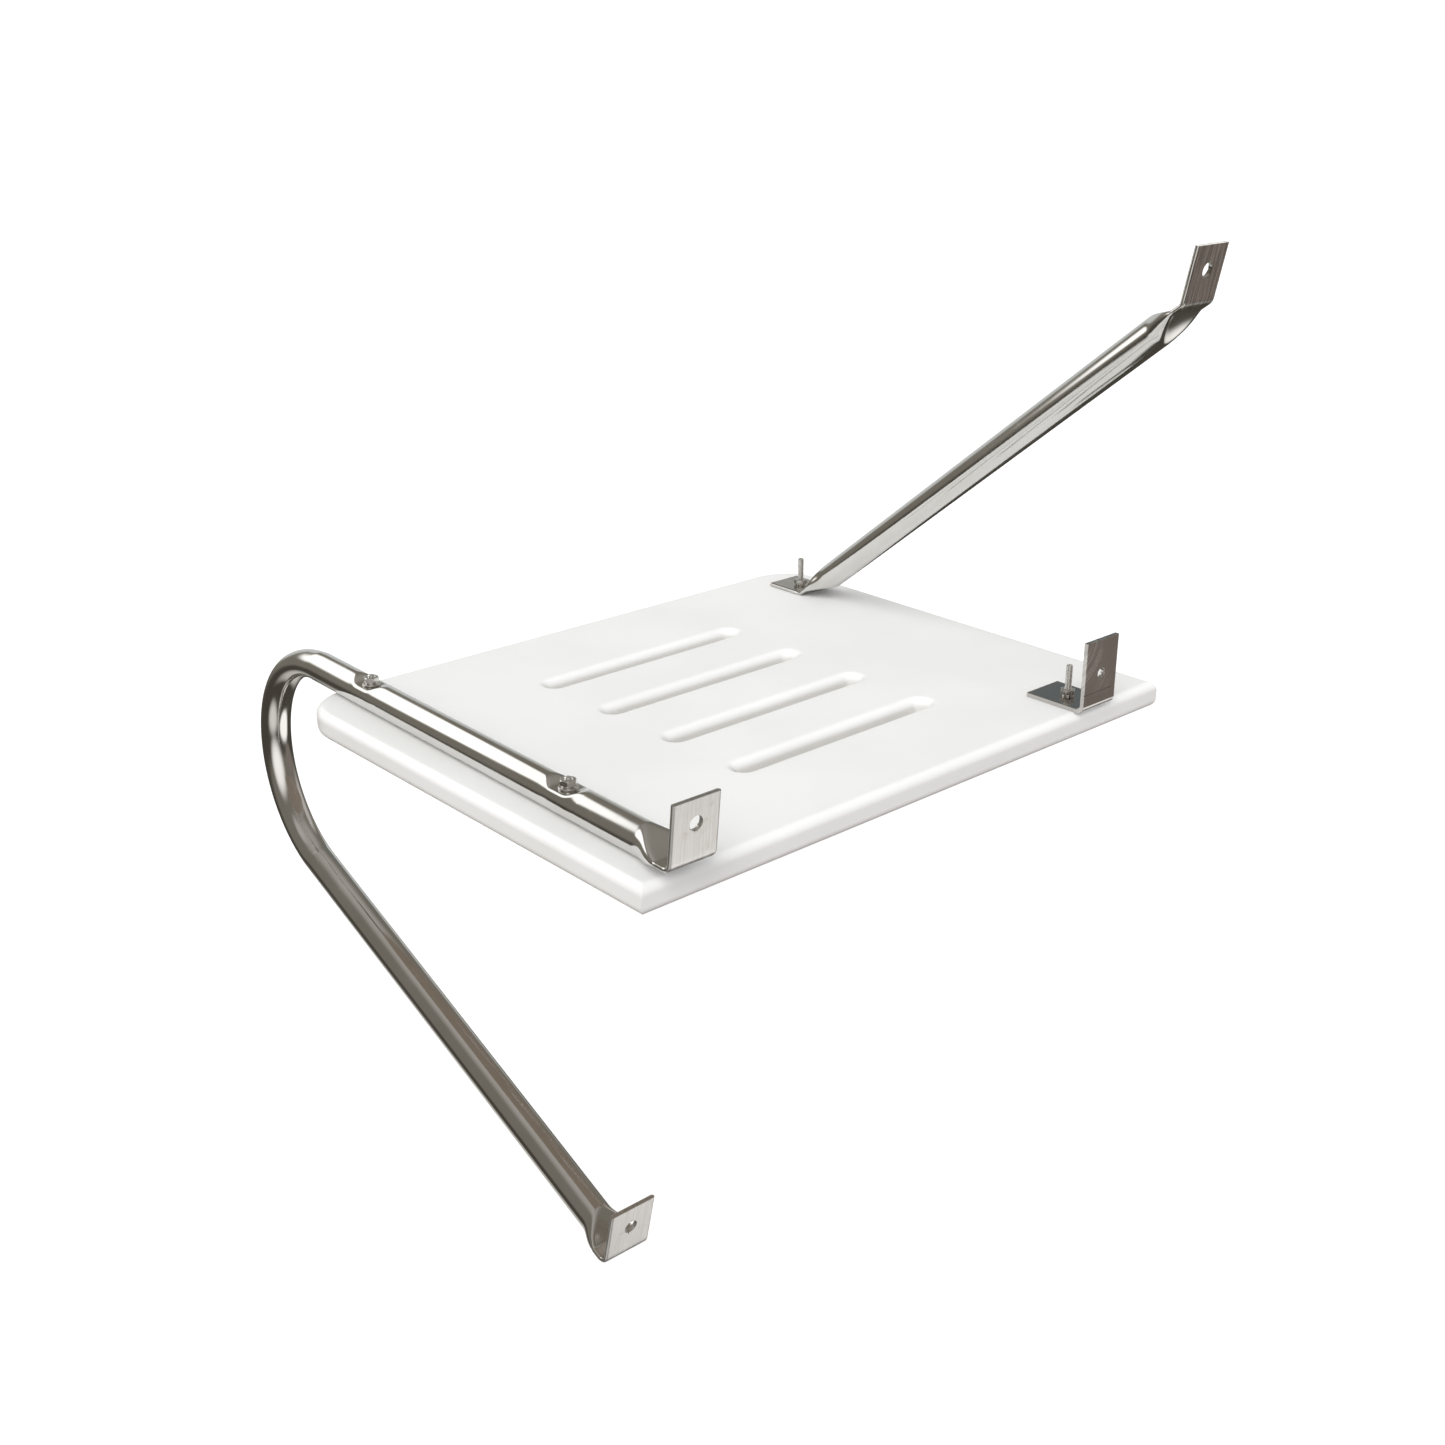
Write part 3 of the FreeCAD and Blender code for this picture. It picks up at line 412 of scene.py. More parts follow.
def rail_tube(material):
    """The bent rail: a path in its own upright plane, turned by the toe, with a section at each sample."""
    leg_height = board_top + RAIL_RADIUS + INSET
    deck_opening = 90 + DECK_LEAN
    lower_opening = 90 + LOWER_LEAN - RAIL_FALL
    reach, lower_reach = fold_reach(deck_opening), fold_reach(lower_opening)
    lean = math.radians(DECK_LEAN)
    corner_y, corner_z = -RAIL_OVERHANG, leg_height - GAUGE / 2
    tip_y = corner_y - math.sin(lean) * DECK_TAB + math.cos(lean) * GAUGE / 2
    tip_z = corner_z + math.cos(lean) * DECK_TAB + math.sin(lean) * GAUGE / 2
    flat_end = FLAT_RUN - RAIL_OVERHANG
    taper_end = flat_end + RAIL_TAPER

    path = PlanePath(tip_y, tip_z, DECK_LEAN - 90)
    path.straight(DECK_TAB - reach, 14).turn(FOLD_MIDDLE, 90 - DECK_LEAN, 10)
    path.straight(FLAT_RUN - reach, 6).straight(RAIL_TAPER, 34)
    at = taper_end
    for screw in RAIL_SCREWS:
        start = screw - SEAT_HALF - SEAT_SLOPE
        path.straight(start - at, 12).straight(2 * (SEAT_HALF + SEAT_SLOPE), 56)
        at = start + 2 * (SEAT_HALF + SEAT_SLOPE)
    path.straight(RAIL_REACH - at, 6).turn(BEND_RADIUS, RAIL_FALL - 180, 60)
    path.straight(DIAGONAL - FLAT_RUN - RAIL_TAPER, 24).straight(RAIL_TAPER, 34)
    path.straight(FLAT_RUN - lower_reach, 6).turn(FOLD_MIDDLE, lower_opening - 180, 10)
    path.straight(LOWER_TAB - lower_reach, 14)

    marks = path.marks
    tapers = ((marks[3], marks[4], False), (marks[11], marks[12], True))
    bend = (marks[9], marks[10])
    toe = Matrix.Rotation(-RAIL_TOE, 3, "Z")
    origin = Vector((mount_line_x(), 0, 0))
    stations, soften = [], []
    for index, (y, z, heading) in enumerate(path.samples):
        pressed = 0.0
        if index <= marks[3] or index >= marks[12]:
            pressed = 1.0
        for first, last, rising in tapers:
            if first < index < last:
                share = (index - first) / (last - first)
                if rising:
                    pressed = press_share(share, LOWER_PRESS_START)
                else:
                    pressed = press_share(1 - share, DECK_PRESS_START)
        dent = 0.0
        on_seat = False
        if marks[4] < index < marks[9]:
            for screw in RAIL_SCREWS:
                away = abs(y - screw)
                share = clamped((SEAT_HALF + SEAT_SLOPE - away) / SEAT_SLOPE)
                dent = max(dent, SEAT_DEPTH * eased(share) ** SEAT_STEEPNESS)
                on_seat = on_seat or away < SEAT_HALF + SEAT_SLOPE
        up = Vector((0, -math.sin(heading), math.cos(heading)))
        centre = origin + toe @ Vector((0, y, z))
        if dent:
            outline = dented_circle(RAIL_RADIUS, dent)
        elif bend[0] <= index <= bend[1]:
            inside = min(index - bend[0], bend[1] - index)
            outline = oval_outline(RAIL_RADIUS, BEND_FLATTENING * min(inside / 2, 1))
        else:
            outline = pressed_outline(RAIL_RADIUS, pressed, RAIL_FLAT)
        stations.append(Station(centre, toe @ Vector((1, 0, 0)), toe @ up, outline))
        soften.append(SOFT_TAPER if 0 < pressed < 1 or on_seat else 0.0)
    skin = tube_skin(stations, soften)

    cutters = [mount_hole("deck_tab_hole", TAB_HOLE), mount_hole("lower_tab_hole", TAB_HOLE)]
    cutters += [screw_hole(name, 40 * MM) for name in ("rail_inner", "rail_outer")]
    mesh = finished(skin, cutters, bevel=EDGE_BREAK, angle=50)
    new_piece("rail_tube_pressed", mesh, "platform", "rail_tube", material)


def mount_line_x():
    """Where the rail's line crosses the board's transom edge, from the deck tab's hole and the toe."""
    hole = mount["deck_tab_hole"]
    return hole.x - hole.y * math.tan(RAIL_TOE)


def mount_hole(name, radius):
    """A cutter for the bolt hole at a mount, long enough to pass through the metal on both sides."""
    axis = Vector(next(m["axis"] for m in record["mounts"] if m["name"] == name))
    reach = axis * 4 * GAUGE
    return cylinder(mount[name] - reach, mount[name] + reach, radius, 48)


def screw_place(name):
    """The middle of a screw."""
    low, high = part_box(f"{name}_screw")
    return (low + high) / 2


def screw_hole(name, height):
    """A cutter for a screw's hole, from inside the board to this height above it."""
    place = screw_place(name)
    start = Vector((place.x, place.y, board_top - 5 * MM))
    return cylinder(start, Vector((place.x, place.y, board_top + height)), SCREW_HOLE, 32)


# Strut: foot on the board, fold, skewed straight tube, fold, top tab.
STRUT_RADIUS = 10.3 * MM - INSET
STRUT_FLAT = 32 * MM
STRUT_RISE = 36.17
STRUT_LEAN = 11
STRUT_FOOT = 34.5 * MM
FOOT_SETBACK = 14.5 * MM
STRUT_STUB = 8 * MM
STRUT_TAPER = 34 * MM
STRUT_PRESS_START = 0.25
STRUT_SOFT_TAPER = 0.4
STRUT_TAB = 36 * MM
STRUT_REACH = 388.5 * MM
STRUT_SHIFT = 71 * MM


def strut_tube(material):
    """The straight strut: flat foot and top tab level with X, and a tube that slants across between them."""
    foot = screw_place("strut")
    opening, top_opening = 180 - STRUT_RISE, 90 + STRUT_LEAN + STRUT_RISE
    reach, top_reach = fold_reach(opening), fold_reach(top_opening)
    corner = Vector((foot.x, foot.y - FOOT_SETBACK, board_top))
    rise = math.radians(STRUT_RISE)
    top_corner = corner + Vector((-STRUT_SHIFT, -STRUT_REACH, STRUT_REACH * math.tan(rise)))

    low_path = PlanePath(corner.y + STRUT_FOOT, board_top + GAUGE / 2, 180)
    low_path.straight(STRUT_FOOT - reach, 14).turn(FOLD_MIDDLE, -STRUT_RISE, 8)
    low_path.straight(STRUT_STUB - reach, 4)
    slope = Vector((0, -math.cos(rise), math.sin(rise)))
    inward = Vector((0, slope.z, -slope.y))
    top_flat = top_corner - slope * STRUT_STUB + inward * GAUGE / 2
    high_path = PlanePath(top_flat.y, top_flat.z, 180 - STRUT_RISE)
    high_path.straight(STRUT_STUB - top_reach, 4).turn(FOLD_MIDDLE, top_opening - 180, 8)
    high_path.straight(STRUT_TAB - top_reach, 14)
    y, z, _ = low_path.samples[-1]
    foot_flat = Vector((corner.x, y, z))
    axis = (top_flat - foot_flat).normalized()
    length = (top_flat - foot_flat).length
    side = axis.cross(Vector((0, 0, 1))).normalized() * -1
    round_up = side.cross(axis).normalized()
    if round_up.z < 0:
        round_up.negate()

    across = Vector((1, 0, 0))
    if side.dot(across) < 0:
        side.negate()

    def section(centre, pressed, lean_up):
        """A section that turns from the slanted tube's own directions to the flats' as it is pressed."""
        sideways = (across * eased(pressed) + side * (1 - eased(pressed))).normalized()
        upward = (lean_up * eased(pressed) + round_up * (1 - eased(pressed))).normalized()
        return Station(centre, sideways, upward, pressed_outline(STRUT_RADIUS, pressed, STRUT_FLAT))

    def plane_up(heading):
        """The face of a flat that looks up, or outwards on the upright tab."""
        up = Vector((0, -math.sin(heading), math.cos(heading)))
        return -up if up.z < 0 or (abs(up.z) < 0.3 and up.y < 0) else up

    stations, soften = [], []
    for y, z, heading in low_path.samples:
        stations.append(section(Vector((corner.x, y, z)), 1.0, plane_up(heading)))
        soften.append(0.0)
    shares = [n / 36 for n in range(1, 37)]
    for share in shares:
        pressed = press_share(1 - share, STRUT_PRESS_START)
        stations.append(section(foot_flat + axis * STRUT_TAPER * share, pressed, inward))
        soften.append(STRUT_SOFT_TAPER)
    straight = length - 2 * STRUT_TAPER
    for step in range(1, 24):
        stations.append(section(foot_flat + axis * (STRUT_TAPER + straight * step / 24), 0.0, inward))
        soften.append(0.0)
    for share in [0.0] + shares[:-1]:
        pressed = press_share(share, STRUT_PRESS_START)
        stations.append(section(top_flat - axis * STRUT_TAPER * (1 - share), pressed, inward))
        soften.append(STRUT_SOFT_TAPER)
    for y, z, heading in high_path.samples:
        stations.append(section(Vector((top_corner.x, y, z)), 1.0, plane_up(heading)))
        soften.append(0.0)
    skin = tube_skin(stations, soften)
    cutters = [mount_hole("strut_tab_hole", TAB_HOLE), screw_hole("strut", 8 * MM)]
    mesh = finished(skin, cutters, bevel=EDGE_BREAK, angle=50)
    new_piece("strut_tube_pressed", mesh, "strut", "strut_tube", material)


# ---------------------------------------------------------------- angle bracket

BRACKET_GAUGE = 3.2 * MM
BRACKET_FOLD = 3 * MM
BRACKET_HOLE = 3.55 * MM


def angle_bracket(material):
    """A folded strip, its side view drawn in y and z and stretched along x, with two holes."""
    low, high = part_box("angle_bracket")
    outer = BRACKET_FOLD + BRACKET_GAUGE
    outline = [(high.y, low.z), (high.y, low.z + BRACKET_GAUGE)]
    centre_y, centre_z = low.y + outer, low.z + outer
    steps = 12
    for step in range(steps + 1):
        turn = math.radians(270 - 90 * step / steps)
        outline.append((centre_y + BRACKET_FOLD * math.cos(turn), centre_z + BRACKET_FOLD * math.sin(turn)))
    outline += [(low.y + BRACKET_GAUGE, high.z), (low.y, high.z)]
    for step in range(steps + 1):
        turn = math.radians(180 + 90 * step / steps)
        outline.append((centre_y + outer * math.cos(turn), centre_z + outer * math.sin(turn)))
    count = len(outline)
    vertices = [Vector((x, y, z)) for x in (low.x, high.x) for y, z in outline]
    strip = mesh_from(vertices, band(0, count, count) + caps(count, count))
    cutters = [mount_hole("bracket_hole", BRACKET_HOLE), screw_hole("bracket", 10 * MM)]
    mesh = finished(strip, cutters, bevel=0.3 * MM, angle=40)
    new_piece("angle_bracket_folded", mesh, "bracket", "angle_bracket", material)


# ---------------------------------------------------------------- fasteners

THREAD_PITCH = 25.4 / 24 * MM
THREAD_CREST = 2.4 * MM
THREAD_ROOT = 1.95 * MM
THREAD_LAND = 0.15
TIP_CHAMFER = 0.35 * MM
TIP_LENGTH = 0.6 * MM
HEAD_RIM = 0.25 * MM
RECESS_TURN = 0.3
HEAD_RADIUS = 4.7 * MM
NUT_ACROSS = 9.5 * MM
NUT_BORE = 2.45 * MM
NUT_CHAMFER = 0.45 * MM
NUT_CROWN = 0.985 * NUT_ACROSS / 2


def threaded_screw(name, material):
    """Flat head with a cross recess, and a thread that runs from the head to a chamfered tip."""
    low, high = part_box(f"{name}_screw")
    centre = screw_place(name)
    sides, rows_per_turn = 32, 10
    cone_end = low.z + HEAD_RADIUS - THREAD_CREST
    length = high.z - cone_end
    rows = int(length / THREAD_PITCH * rows_per_turn)
    vertices, faces = [], []
    rings = [(HEAD_RADIUS, low.z), (HEAD_RADIUS, low.z + HEAD_RIM), (THREAD_CREST, cone_end)]
    for radius, height in rings:
        vertices += [on_circle(centre, radius, math.tau * step / sides, height) for step in range(sides)]
    tip = THREAD_ROOT - TIP_CHAMFER
    for row in range(1, rows + 1):
        height = cone_end + length * row / rows
        to_tip = (high.z - height) / TIP_LENGTH
        for step in range(sides):
            phase = (height / THREAD_PITCH - step / sides) % 1.0
            flank = abs(2 * phase - 1)
            ridge = clamped((flank - THREAD_LAND) / (1 - 2 * THREAD_LAND))
            radius = THREAD_ROOT + (THREAD_CREST - THREAD_ROOT) * ridge
            radius = min(radius, tip + (THREAD_CREST - tip) * min(to_tip, 1))
            vertices.append(on_circle(centre, radius, math.tau * step / sides, height))
    total = rows + len(rings)
    for row in range(total - 1):
        faces += band(row * sides, (row + 1) * sides, sides)
    faces += caps((total - 1) * sides, sides)
    recess = [cross_slot(centre, low.z, turn) for turn in (RECESS_TURN, RECESS_TURN + math.pi / 2)]
    mesh = finished(mesh_from(vertices, faces), recess)
    mesh.set_sharp_from_angle(angle=math.radians(40))
    new_piece(f"{name}_screw_threaded", mesh, "platform", f"{name}_screw", material)


def cross_slot(centre, level, turn):
    """One wing of a cross recess: narrow and shorter towards its bottom."""
    along = Vector((math.cos(turn), math.sin(turn), 0))
    across = Vector((-along.y, along.x, 0))
    vertices = []
    for height, length, width in ((-0.5 * MM, 2.6 * MM, 0.6 * MM), (1.7 * MM, 1.3 * MM, 0.35 * MM)):
        middle = Vector((centre.x, centre.y, level + height))
        for a, b in ((-1, -1), (1, -1), (1, 1), (-1, 1)):
            vertices.append(middle + along * length * a + across * width * b)
    return mesh_from(vertices, caps(4, 4) + band(0, 4, 4))


def hex_nut(name, material):
    """Hexagon turned down at its corners on both faces, with a chamfered bore."""
    low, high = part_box(f"{name}_nut")
    centre = screw_place(name)
    corner = NUT_ACROSS / math.sqrt(3)
    first_turn = nut_turn(name)
    vertices = []
    for height in (low.z, high.z):
        vertices += [on_circle(centre, corner, first_turn + math.tau * step / 6, height) for step in range(6)]
    prism = mesh_from(vertices, band(0, 6, 6) + caps(6, 6))
    drop = 0.6325 * MM
    reach = corner + 0.4 * MM
    middle = (low.z + high.z) / 2
    flare = NUT_BORE + NUT_CHAMFER
    profile = [(flare, low.z), (NUT_CROWN, low.z), (reach, low.z + drop), (reach, high.z - drop),
               (NUT_CROWN, high.z), (flare, high.z), (NUT_BORE, high.z - NUT_CHAMFER), (NUT_BORE, middle),
               (NUT_BORE, low.z + NUT_CHAMFER)]
    turned = lathe(profile, 72, centre)
    mesh = finished(prism, keep=[turned], bevel=0.08 * MM, angle=20)
    new_piece(f"{name}_nut_turned", mesh, "platform", f"{name}_nut", material)


def nut_turn(name):
    """The way a nut's corners point, read from its node: the vertex farthest from its middle."""
    centre = screw_place(name)
    node = frame["nodes"][f"{name}_nut"]
    far = max(node.data.vertices, key=lambda v: (v.co.x - centre.x) ** 2 + (v.co.y - centre.y) ** 2)
    return math.atan2(far.co.y - centre.y, far.co.x - centre.x)


def lock_washer(name, turn, material):
    """A square-section ring cut through on a slant."""
    low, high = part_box(f"{name}_lock_washer")
    centre = screw_place(name)
    outer, inner = (high.x - low.x) / 2, SCREW_HOLE
    gap = 13
    slant = 7
    steps = 64
    corners = ((inner, low.z, 0), (outer, low.z, 0), (outer, high.z, slant), (inner, high.z, slant))
    vertices, faces = [], []
    for step in range(steps + 1):
        way = turn + gap / 2 + (360 - gap) * step / steps
        for radius, height, lag in corners:
            vertices.append(on_circle(centre, radius, math.radians(way + lag), height))
    for step in range(steps):
        faces += band(4 * step, 4 * step + 4, 4)
    faces += caps(4 * steps, 4)
    mesh = finished(mesh_from(vertices, faces), bevel=0.12 * MM, angle=40)
    new_piece(f"{name}_lock_washer_split", mesh, "platform", f"{name}_lock_washer", material)


def flat_washer(name, material):
    """A punched ring, rounded on its upper rim."""
    low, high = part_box(f"{name}_flat_washer")
    centre = screw_place(name)
    outer = (high.x - low.x) / 2
    profile = [(SCREW_HOLE, low.z), (outer, low.z), (outer, high.z), (SCREW_HOLE, high.z)]
    ring = lathe(profile, 96, centre)
    mesh = finished(ring, bevel=0.3 * MM, angle=40, segments=3)
    new_piece(f"{name}_flat_washer_punched", mesh, "platform", f"{name}_flat_washer", material)


# ---------------------------------------------------------------- node graphs

# The colour sockets of a Mix node, which share their names with its number and vector sockets.
COLOUR_A, COLOUR_B, COLOUR_OUT = 6, 7, 2


class Value:
    """A socket that can be used in arithmetic. Each operation adds one Math node to its graph."""

    def __init__(self, graph, socket):
        self.graph = graph
        self.socket = socket

    def __add__(self, other):
        return self.graph.math("ADD", self, other)

    def __radd__(self, other):
        return self.graph.math("ADD", other, self)

    def __sub__(self, other):
        return self.graph.math("SUBTRACT", self, other)

    def __rsub__(self, other):
        return self.graph.math("SUBTRACT", other, self)

    def __mul__(self, other):
        return self.graph.math("MULTIPLY", self, other)

    def __rmul__(self, other):
        return self.graph.math("MULTIPLY", other, self)

    def __truediv__(self, other):
        return self.graph.math("DIVIDE", self, other)

    def __pow__(self, other):
        return self.graph.math("POWER", self, other)


class Graph:
    """A node tree with one way of adding a node: its type, its settings, then what its sockets hold."""

    def __init__(self, tree):
        self.tree = tree

    def add(self, kind, settings=None, sockets=None, output=0):
        """A new node's output as a value."""
        node = self.tree.nodes.new(kind)
        for name, value in (settings or {}).items():
            if name == "stops":
                self.set_stops(node.color_ramp, value)
            else:
                setattr(node, name, value)
        for key, value in (sockets or {}).items():
            self.feed(node.inputs[key], value)
        return Value(self, node.outputs[output])

    def math(self, operation, *terms):
        return self.add("ShaderNodeMath", {"operation": operation}, dict(enumerate(terms)))

    def feed(self, socket, value):
        """Link a socket to a value, or set it."""
        if isinstance(value, Value):
            self.tree.links.new(value.socket, socket)
        else:
            socket.default_value = value

    @staticmethod
    def set_stops(ramp, stops):
        while len(ramp.elements) < len(stops):
            ramp.elements.new(0.5)
        for element, (place, colour) in zip(ramp.elements, stops):
            element.position = place
            element.color = (*colour, 1)

    def place(self):
        """The point on the piece, in metres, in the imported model's frame."""
        return self.add("ShaderNodeTexCoord", output="Object")

    def split(self, vector):
        """The three parts of a vector."""
        node = self.tree.nodes.new("ShaderNodeSeparateXYZ")
        self.feed(node.inputs[0], vector)
        return [Value(self, output) for output in node.outputs]

    def join(self, x, y, z):
        return self.add("ShaderNodeCombineXYZ", sockets={0: x, 1: y, 2: z})

    def noise(self, vector, scale, detail=2.0, roughness=0.5, distortion=0.0):
        """Clouds between 0 and 1, about scale of them to the metre."""
        return self.add("ShaderNodeTexNoise", sockets={
            "Vector": vector,
            "Scale": scale,
            "Detail": detail,
            "Roughness": roughness,
            "Distortion": distortion,
        })

    def stretched(self, vector, factors):
        """The vector scaled on each axis, so that noise on it turns to lines along the smallest factor."""
        return self.add("ShaderNodeVectorMath", {"operation": "MULTIPLY"}, {0: vector, 1: factors})

    def ramp(self, value, low, high, start=0.0, end=1.0):
        """From start to end as the value goes from low to high, eased, and level outside."""
        return self.add("ShaderNodeMapRange", {"interpolation_type": "SMOOTHSTEP"}, {
            "Value": value, "From Min": low, "From Max": high, "To Min": start, "To Max": end})

    def blend(self, factor, first, second):
        """The first colour where factor is 0 and the second where it is 1."""
        sockets = {"Factor": factor, COLOUR_A: first, COLOUR_B: second}
        return self.add("ShaderNodeMix", {"data_type": "RGBA"}, sockets, output=COLOUR_OUT)

    def bump(self, height, strength, distance):
        """A normal from a height map, with its full height in metres."""
        sockets = {"Height": height, "Strength": strength, "Distance": distance}
        return self.add("ShaderNodeBump", sockets=sockets)


class Finish(Graph):
    """One material. Its sockets are fed by name."""

    def __init__(self, name):
        self.material = bpy.data.materials.new(name)
        self.material.use_nodes = True
        super().__init__(self.material.node_tree)
        self.shader = self.tree.nodes["Principled BSDF"]

    def wear(self, **sockets):
        """Feed the shader and hand over the material."""
        for name, value in sockets.items():
            self.feed(self.shader.inputs[name.replace("_", " ")], value)
        return self.material


def colour(red, green, blue):
    return (red, green, blue, 1)


# ---------------------------------------------------------------- materials


def board_polyethylene():
    """Off-white polyethylene: cast grain, faint clouding, a few specks and light scuffs."""
    f = Finish("board_polyethylene")
    place = f.place()
    clouds = f.noise(place, 9, 3)
    grain = f.noise(place, 1500, 2, 0.6)
    pebbles = f.noise(place, 420, 3, 0.55)
    scuff_lines = f.noise(f.stretched(place, (60, 900, 60)), 1, 4, 0.7, 0.6)
    scuffs = f.ramp(scuff_lines, 0.66, 0.74) * f.ramp(f.noise(place, 14, 2), 0.5, 0.62)
    specks = f.add("ShaderNodeTexVoronoi", {"feature": "F1"}, {"Vector": place, "Scale": 55})
    dots = 1 - f.ramp(specks, 0.010, 0.022)
    dots = dots * f.ramp(f.noise(place, 31, 1), 0.58, 0.62)
    base = f.blend(f.ramp(clouds, 0.35, 0.65), colour(0.80, 0.80, 0.785), colour(0.83, 0.83, 0.82))
    base = f.blend(scuffs * 0.25, base, colour(0.70, 0.70, 0.69))
    base = f.blend(dots * 0.55, base, colour(0.42, 0.40, 0.36))
    rough = 0.42 + clouds * 0.06 + scuffs * 0.15 - grain * 0.04
    relief = pebbles * 0.7 + grain * 0.3 + scuffs * 0.4
    return f.wear(
        Base_Color=base,
        Roughness=rough,
        Normal=f.bump(relief, 0.22, 0.08 * MM),
        Specular_IOR_Level=0.45,
    )


def polished_steel(name, tab_mask, tab_tone, tab_rough, tab_contrast):
    """Polished tube whose pressed tabs keep a satin grain that runs along them."""
    f = Finish(name)
    place = f.place()
    _, y, z = f.split(place)
    tab = tab_mask(f, y, z)
    smudges = f.noise(place, 22, 4, 0.6, 0.4)
    haze = f.noise(place, 160, 3, 0.6)
    hairlines = f.noise(f.stretched(place, (2600, 40, 40)), 1, 3, 0.6)
    streaks = f.noise(f.stretched(place, (900, 26, 26)), 1, 4, 0.62, 0.3)
    stains = f.noise(place, 70, 4, 0.6, 0.8)
    metal = f.blend(f.ramp(smudges, 0.3, 0.7), colour(0.66, 0.645, 0.62), colour(0.70, 0.69, 0.67))
    worn = colour(*[c * (1 - tab_contrast) for c in tab_tone])
    tab_metal = f.blend(f.ramp(streaks, 0.36, 0.64), worn, colour(*tab_tone))
    tab_metal = f.blend(f.ramp(stains, 0.56, 0.72) * 0.35, tab_metal, colour(0.33, 0.27, 0.21))
    rough = 0.105 + f.ramp(smudges, 0.42, 0.75) * 0.07 + haze * 0.03
    satin = tab_rough + streaks * 0.2
    relief = (hairlines * 0.12 + haze * 0.05) * (1 - tab) + (streaks * 0.5 + hairlines * 0.1) * tab
    return f.wear(
        Base_Color=f.blend(tab, metal, tab_metal),
        Metallic=1.0,
        Roughness=rough * (1 - tab) + satin * tab,
        Normal=f.bump(relief, 0.35, 0.04 * MM),
    )


def rail_tabs(f, y, z):
    """1 on the deck tab and the lower tab, 0 on the tube."""
    deck = 1 - f.ramp(y, -12.5 * MM, -8.5 * MM)
    lower = (1 - f.ramp(y, 59.5 * MM, 62.5 * MM)) * (1 - f.ramp(z, -200 * MM, -190 * MM))
    return f.math("MAXIMUM", deck, lower)


def strut_tabs(f, y, z):
    """1 on the top tab, about half on the foot, 0 on the tube."""
    top = 1 - f.ramp(y, -70 * MM, -65.5 * MM)
    foot = (1 - f.ramp(z, 13 * MM, 14 * MM)) * f.ramp(y, 300 * MM, 310 * MM) * 0.55
    return f.math("MAXIMUM", top, foot)


def bracket_steel():
    """Polished sheet with wide round swirls left by the polishing wheel, painted pale in two places as a
    highlight, and one scribed line.
    """
    f = Finish("bracket_steel")
    place = f.place()
    x, y, z = f.split(place)
    low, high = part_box("angle_bracket")
    middle = (low.x + high.x) / 2
    rise = z + y
    patch = f.noise(place, 30, 2, 0.5)
    # Rings of polishing swirls round two centres. They are real marks, but their pale colour is also a
    # painted highlight where the leaf reflects bright bands.
    swirl_and_sheen = 0.0
    for side, level, share in ((-34 * MM, 62 * MM, 0.6), (30 * MM, 6 * MM, 0.5)):
        dx = x - (middle + side)
        dz = rise - level
        reach = (dx * dx + dz * dz) ** 0.5
        lines = f.noise(f.join(reach * 520, side * 100, 0.0), 1, 3, 0.75)
        bright = f.ramp(f.math("SINE", reach * 55), 0.55, 1.0)
        swirl_and_sheen = bright * f.ramp(lines, 0.40, 0.60) * share + swirl_and_sheen
    upright = 1 - f.ramp(y, low.y + 5 * MM, low.y + 8 * MM)
    swirl_and_sheen = swirl_and_sheen * f.ramp(patch, 0.35, 0.55) * upright
    level = board_top + 14 * MM
    line_low = f.ramp(z, level - 0.35 * MM, level - 0.1 * MM)
    line_high = 1 - f.ramp(z, level + 0.1 * MM, level + 0.35 * MM)
    short_of_rim = 1 - f.ramp(x, high.x - 4 * MM, high.x - 3 * MM)
    outer_face = 1 - f.ramp(y, low.y + 0.3 * MM, low.y + MM)
    scribe = line_low * line_high * short_of_rim * outer_face
    # Painted highlight: on the swirls the colour goes from dark grey to near white, standing in for reflected
    # light as well as the swirl marks.
    base = f.blend(swirl_and_sheen, colour(0.56, 0.54, 0.52), colour(0.86, 0.84, 0.82))
    base = f.blend(scribe * 0.85, base, colour(0.06, 0.05, 0.05))
    rough = 0.09 + swirl_and_sheen * 0.30 + f.noise(place, 90, 3) * 0.05 + scribe * 0.3
    return f.wear(Base_Color=base, Metallic=1.0, Roughness=rough, Normal=f.bump(swirl_and_sheen, 0.10, 0.03 * MM))


def bright_fastener():
    """Bright stainless with turning lines round the axis and grey in random patches."""
    f = Finish("bright_fastener")
    place = f.place()
    rings = f.noise(f.stretched(place, (60, 60, 4200)), 1, 2, 0.6)
    patch = f.noise(place, 260, 4, 0.6)
    base = f.blend(f.ramp(patch, 0.35, 0.7), colour(0.76, 0.75, 0.73), colour(0.90, 0.89, 0.87))
    rough = 0.14 + patch * 0.12 + rings * 0.08
    relief = f.bump(rings + patch * 0.6, 0.3, 0.03 * MM)
    return f.wear(Base_Color=base, Metallic=1.0, Roughness=rough, Normal=relief)


# ---------------------------------------------------------------- studio


SUN_WIDTH = 38
RIM_STRENGTH = 0.35
FLOOR_HALF = 6.0
FLOOR_GLOW = 0.82

CAMERA_PLACE = Vector((-0.7695, -0.6647, 0.4520))
CAMERA_HEADING, CAMERA_PITCH, CAMERA_ROLL = 41.656, 22.068, -0.168
CAMERA_LENS, CAMERA_SENSOR = 43.47, 36


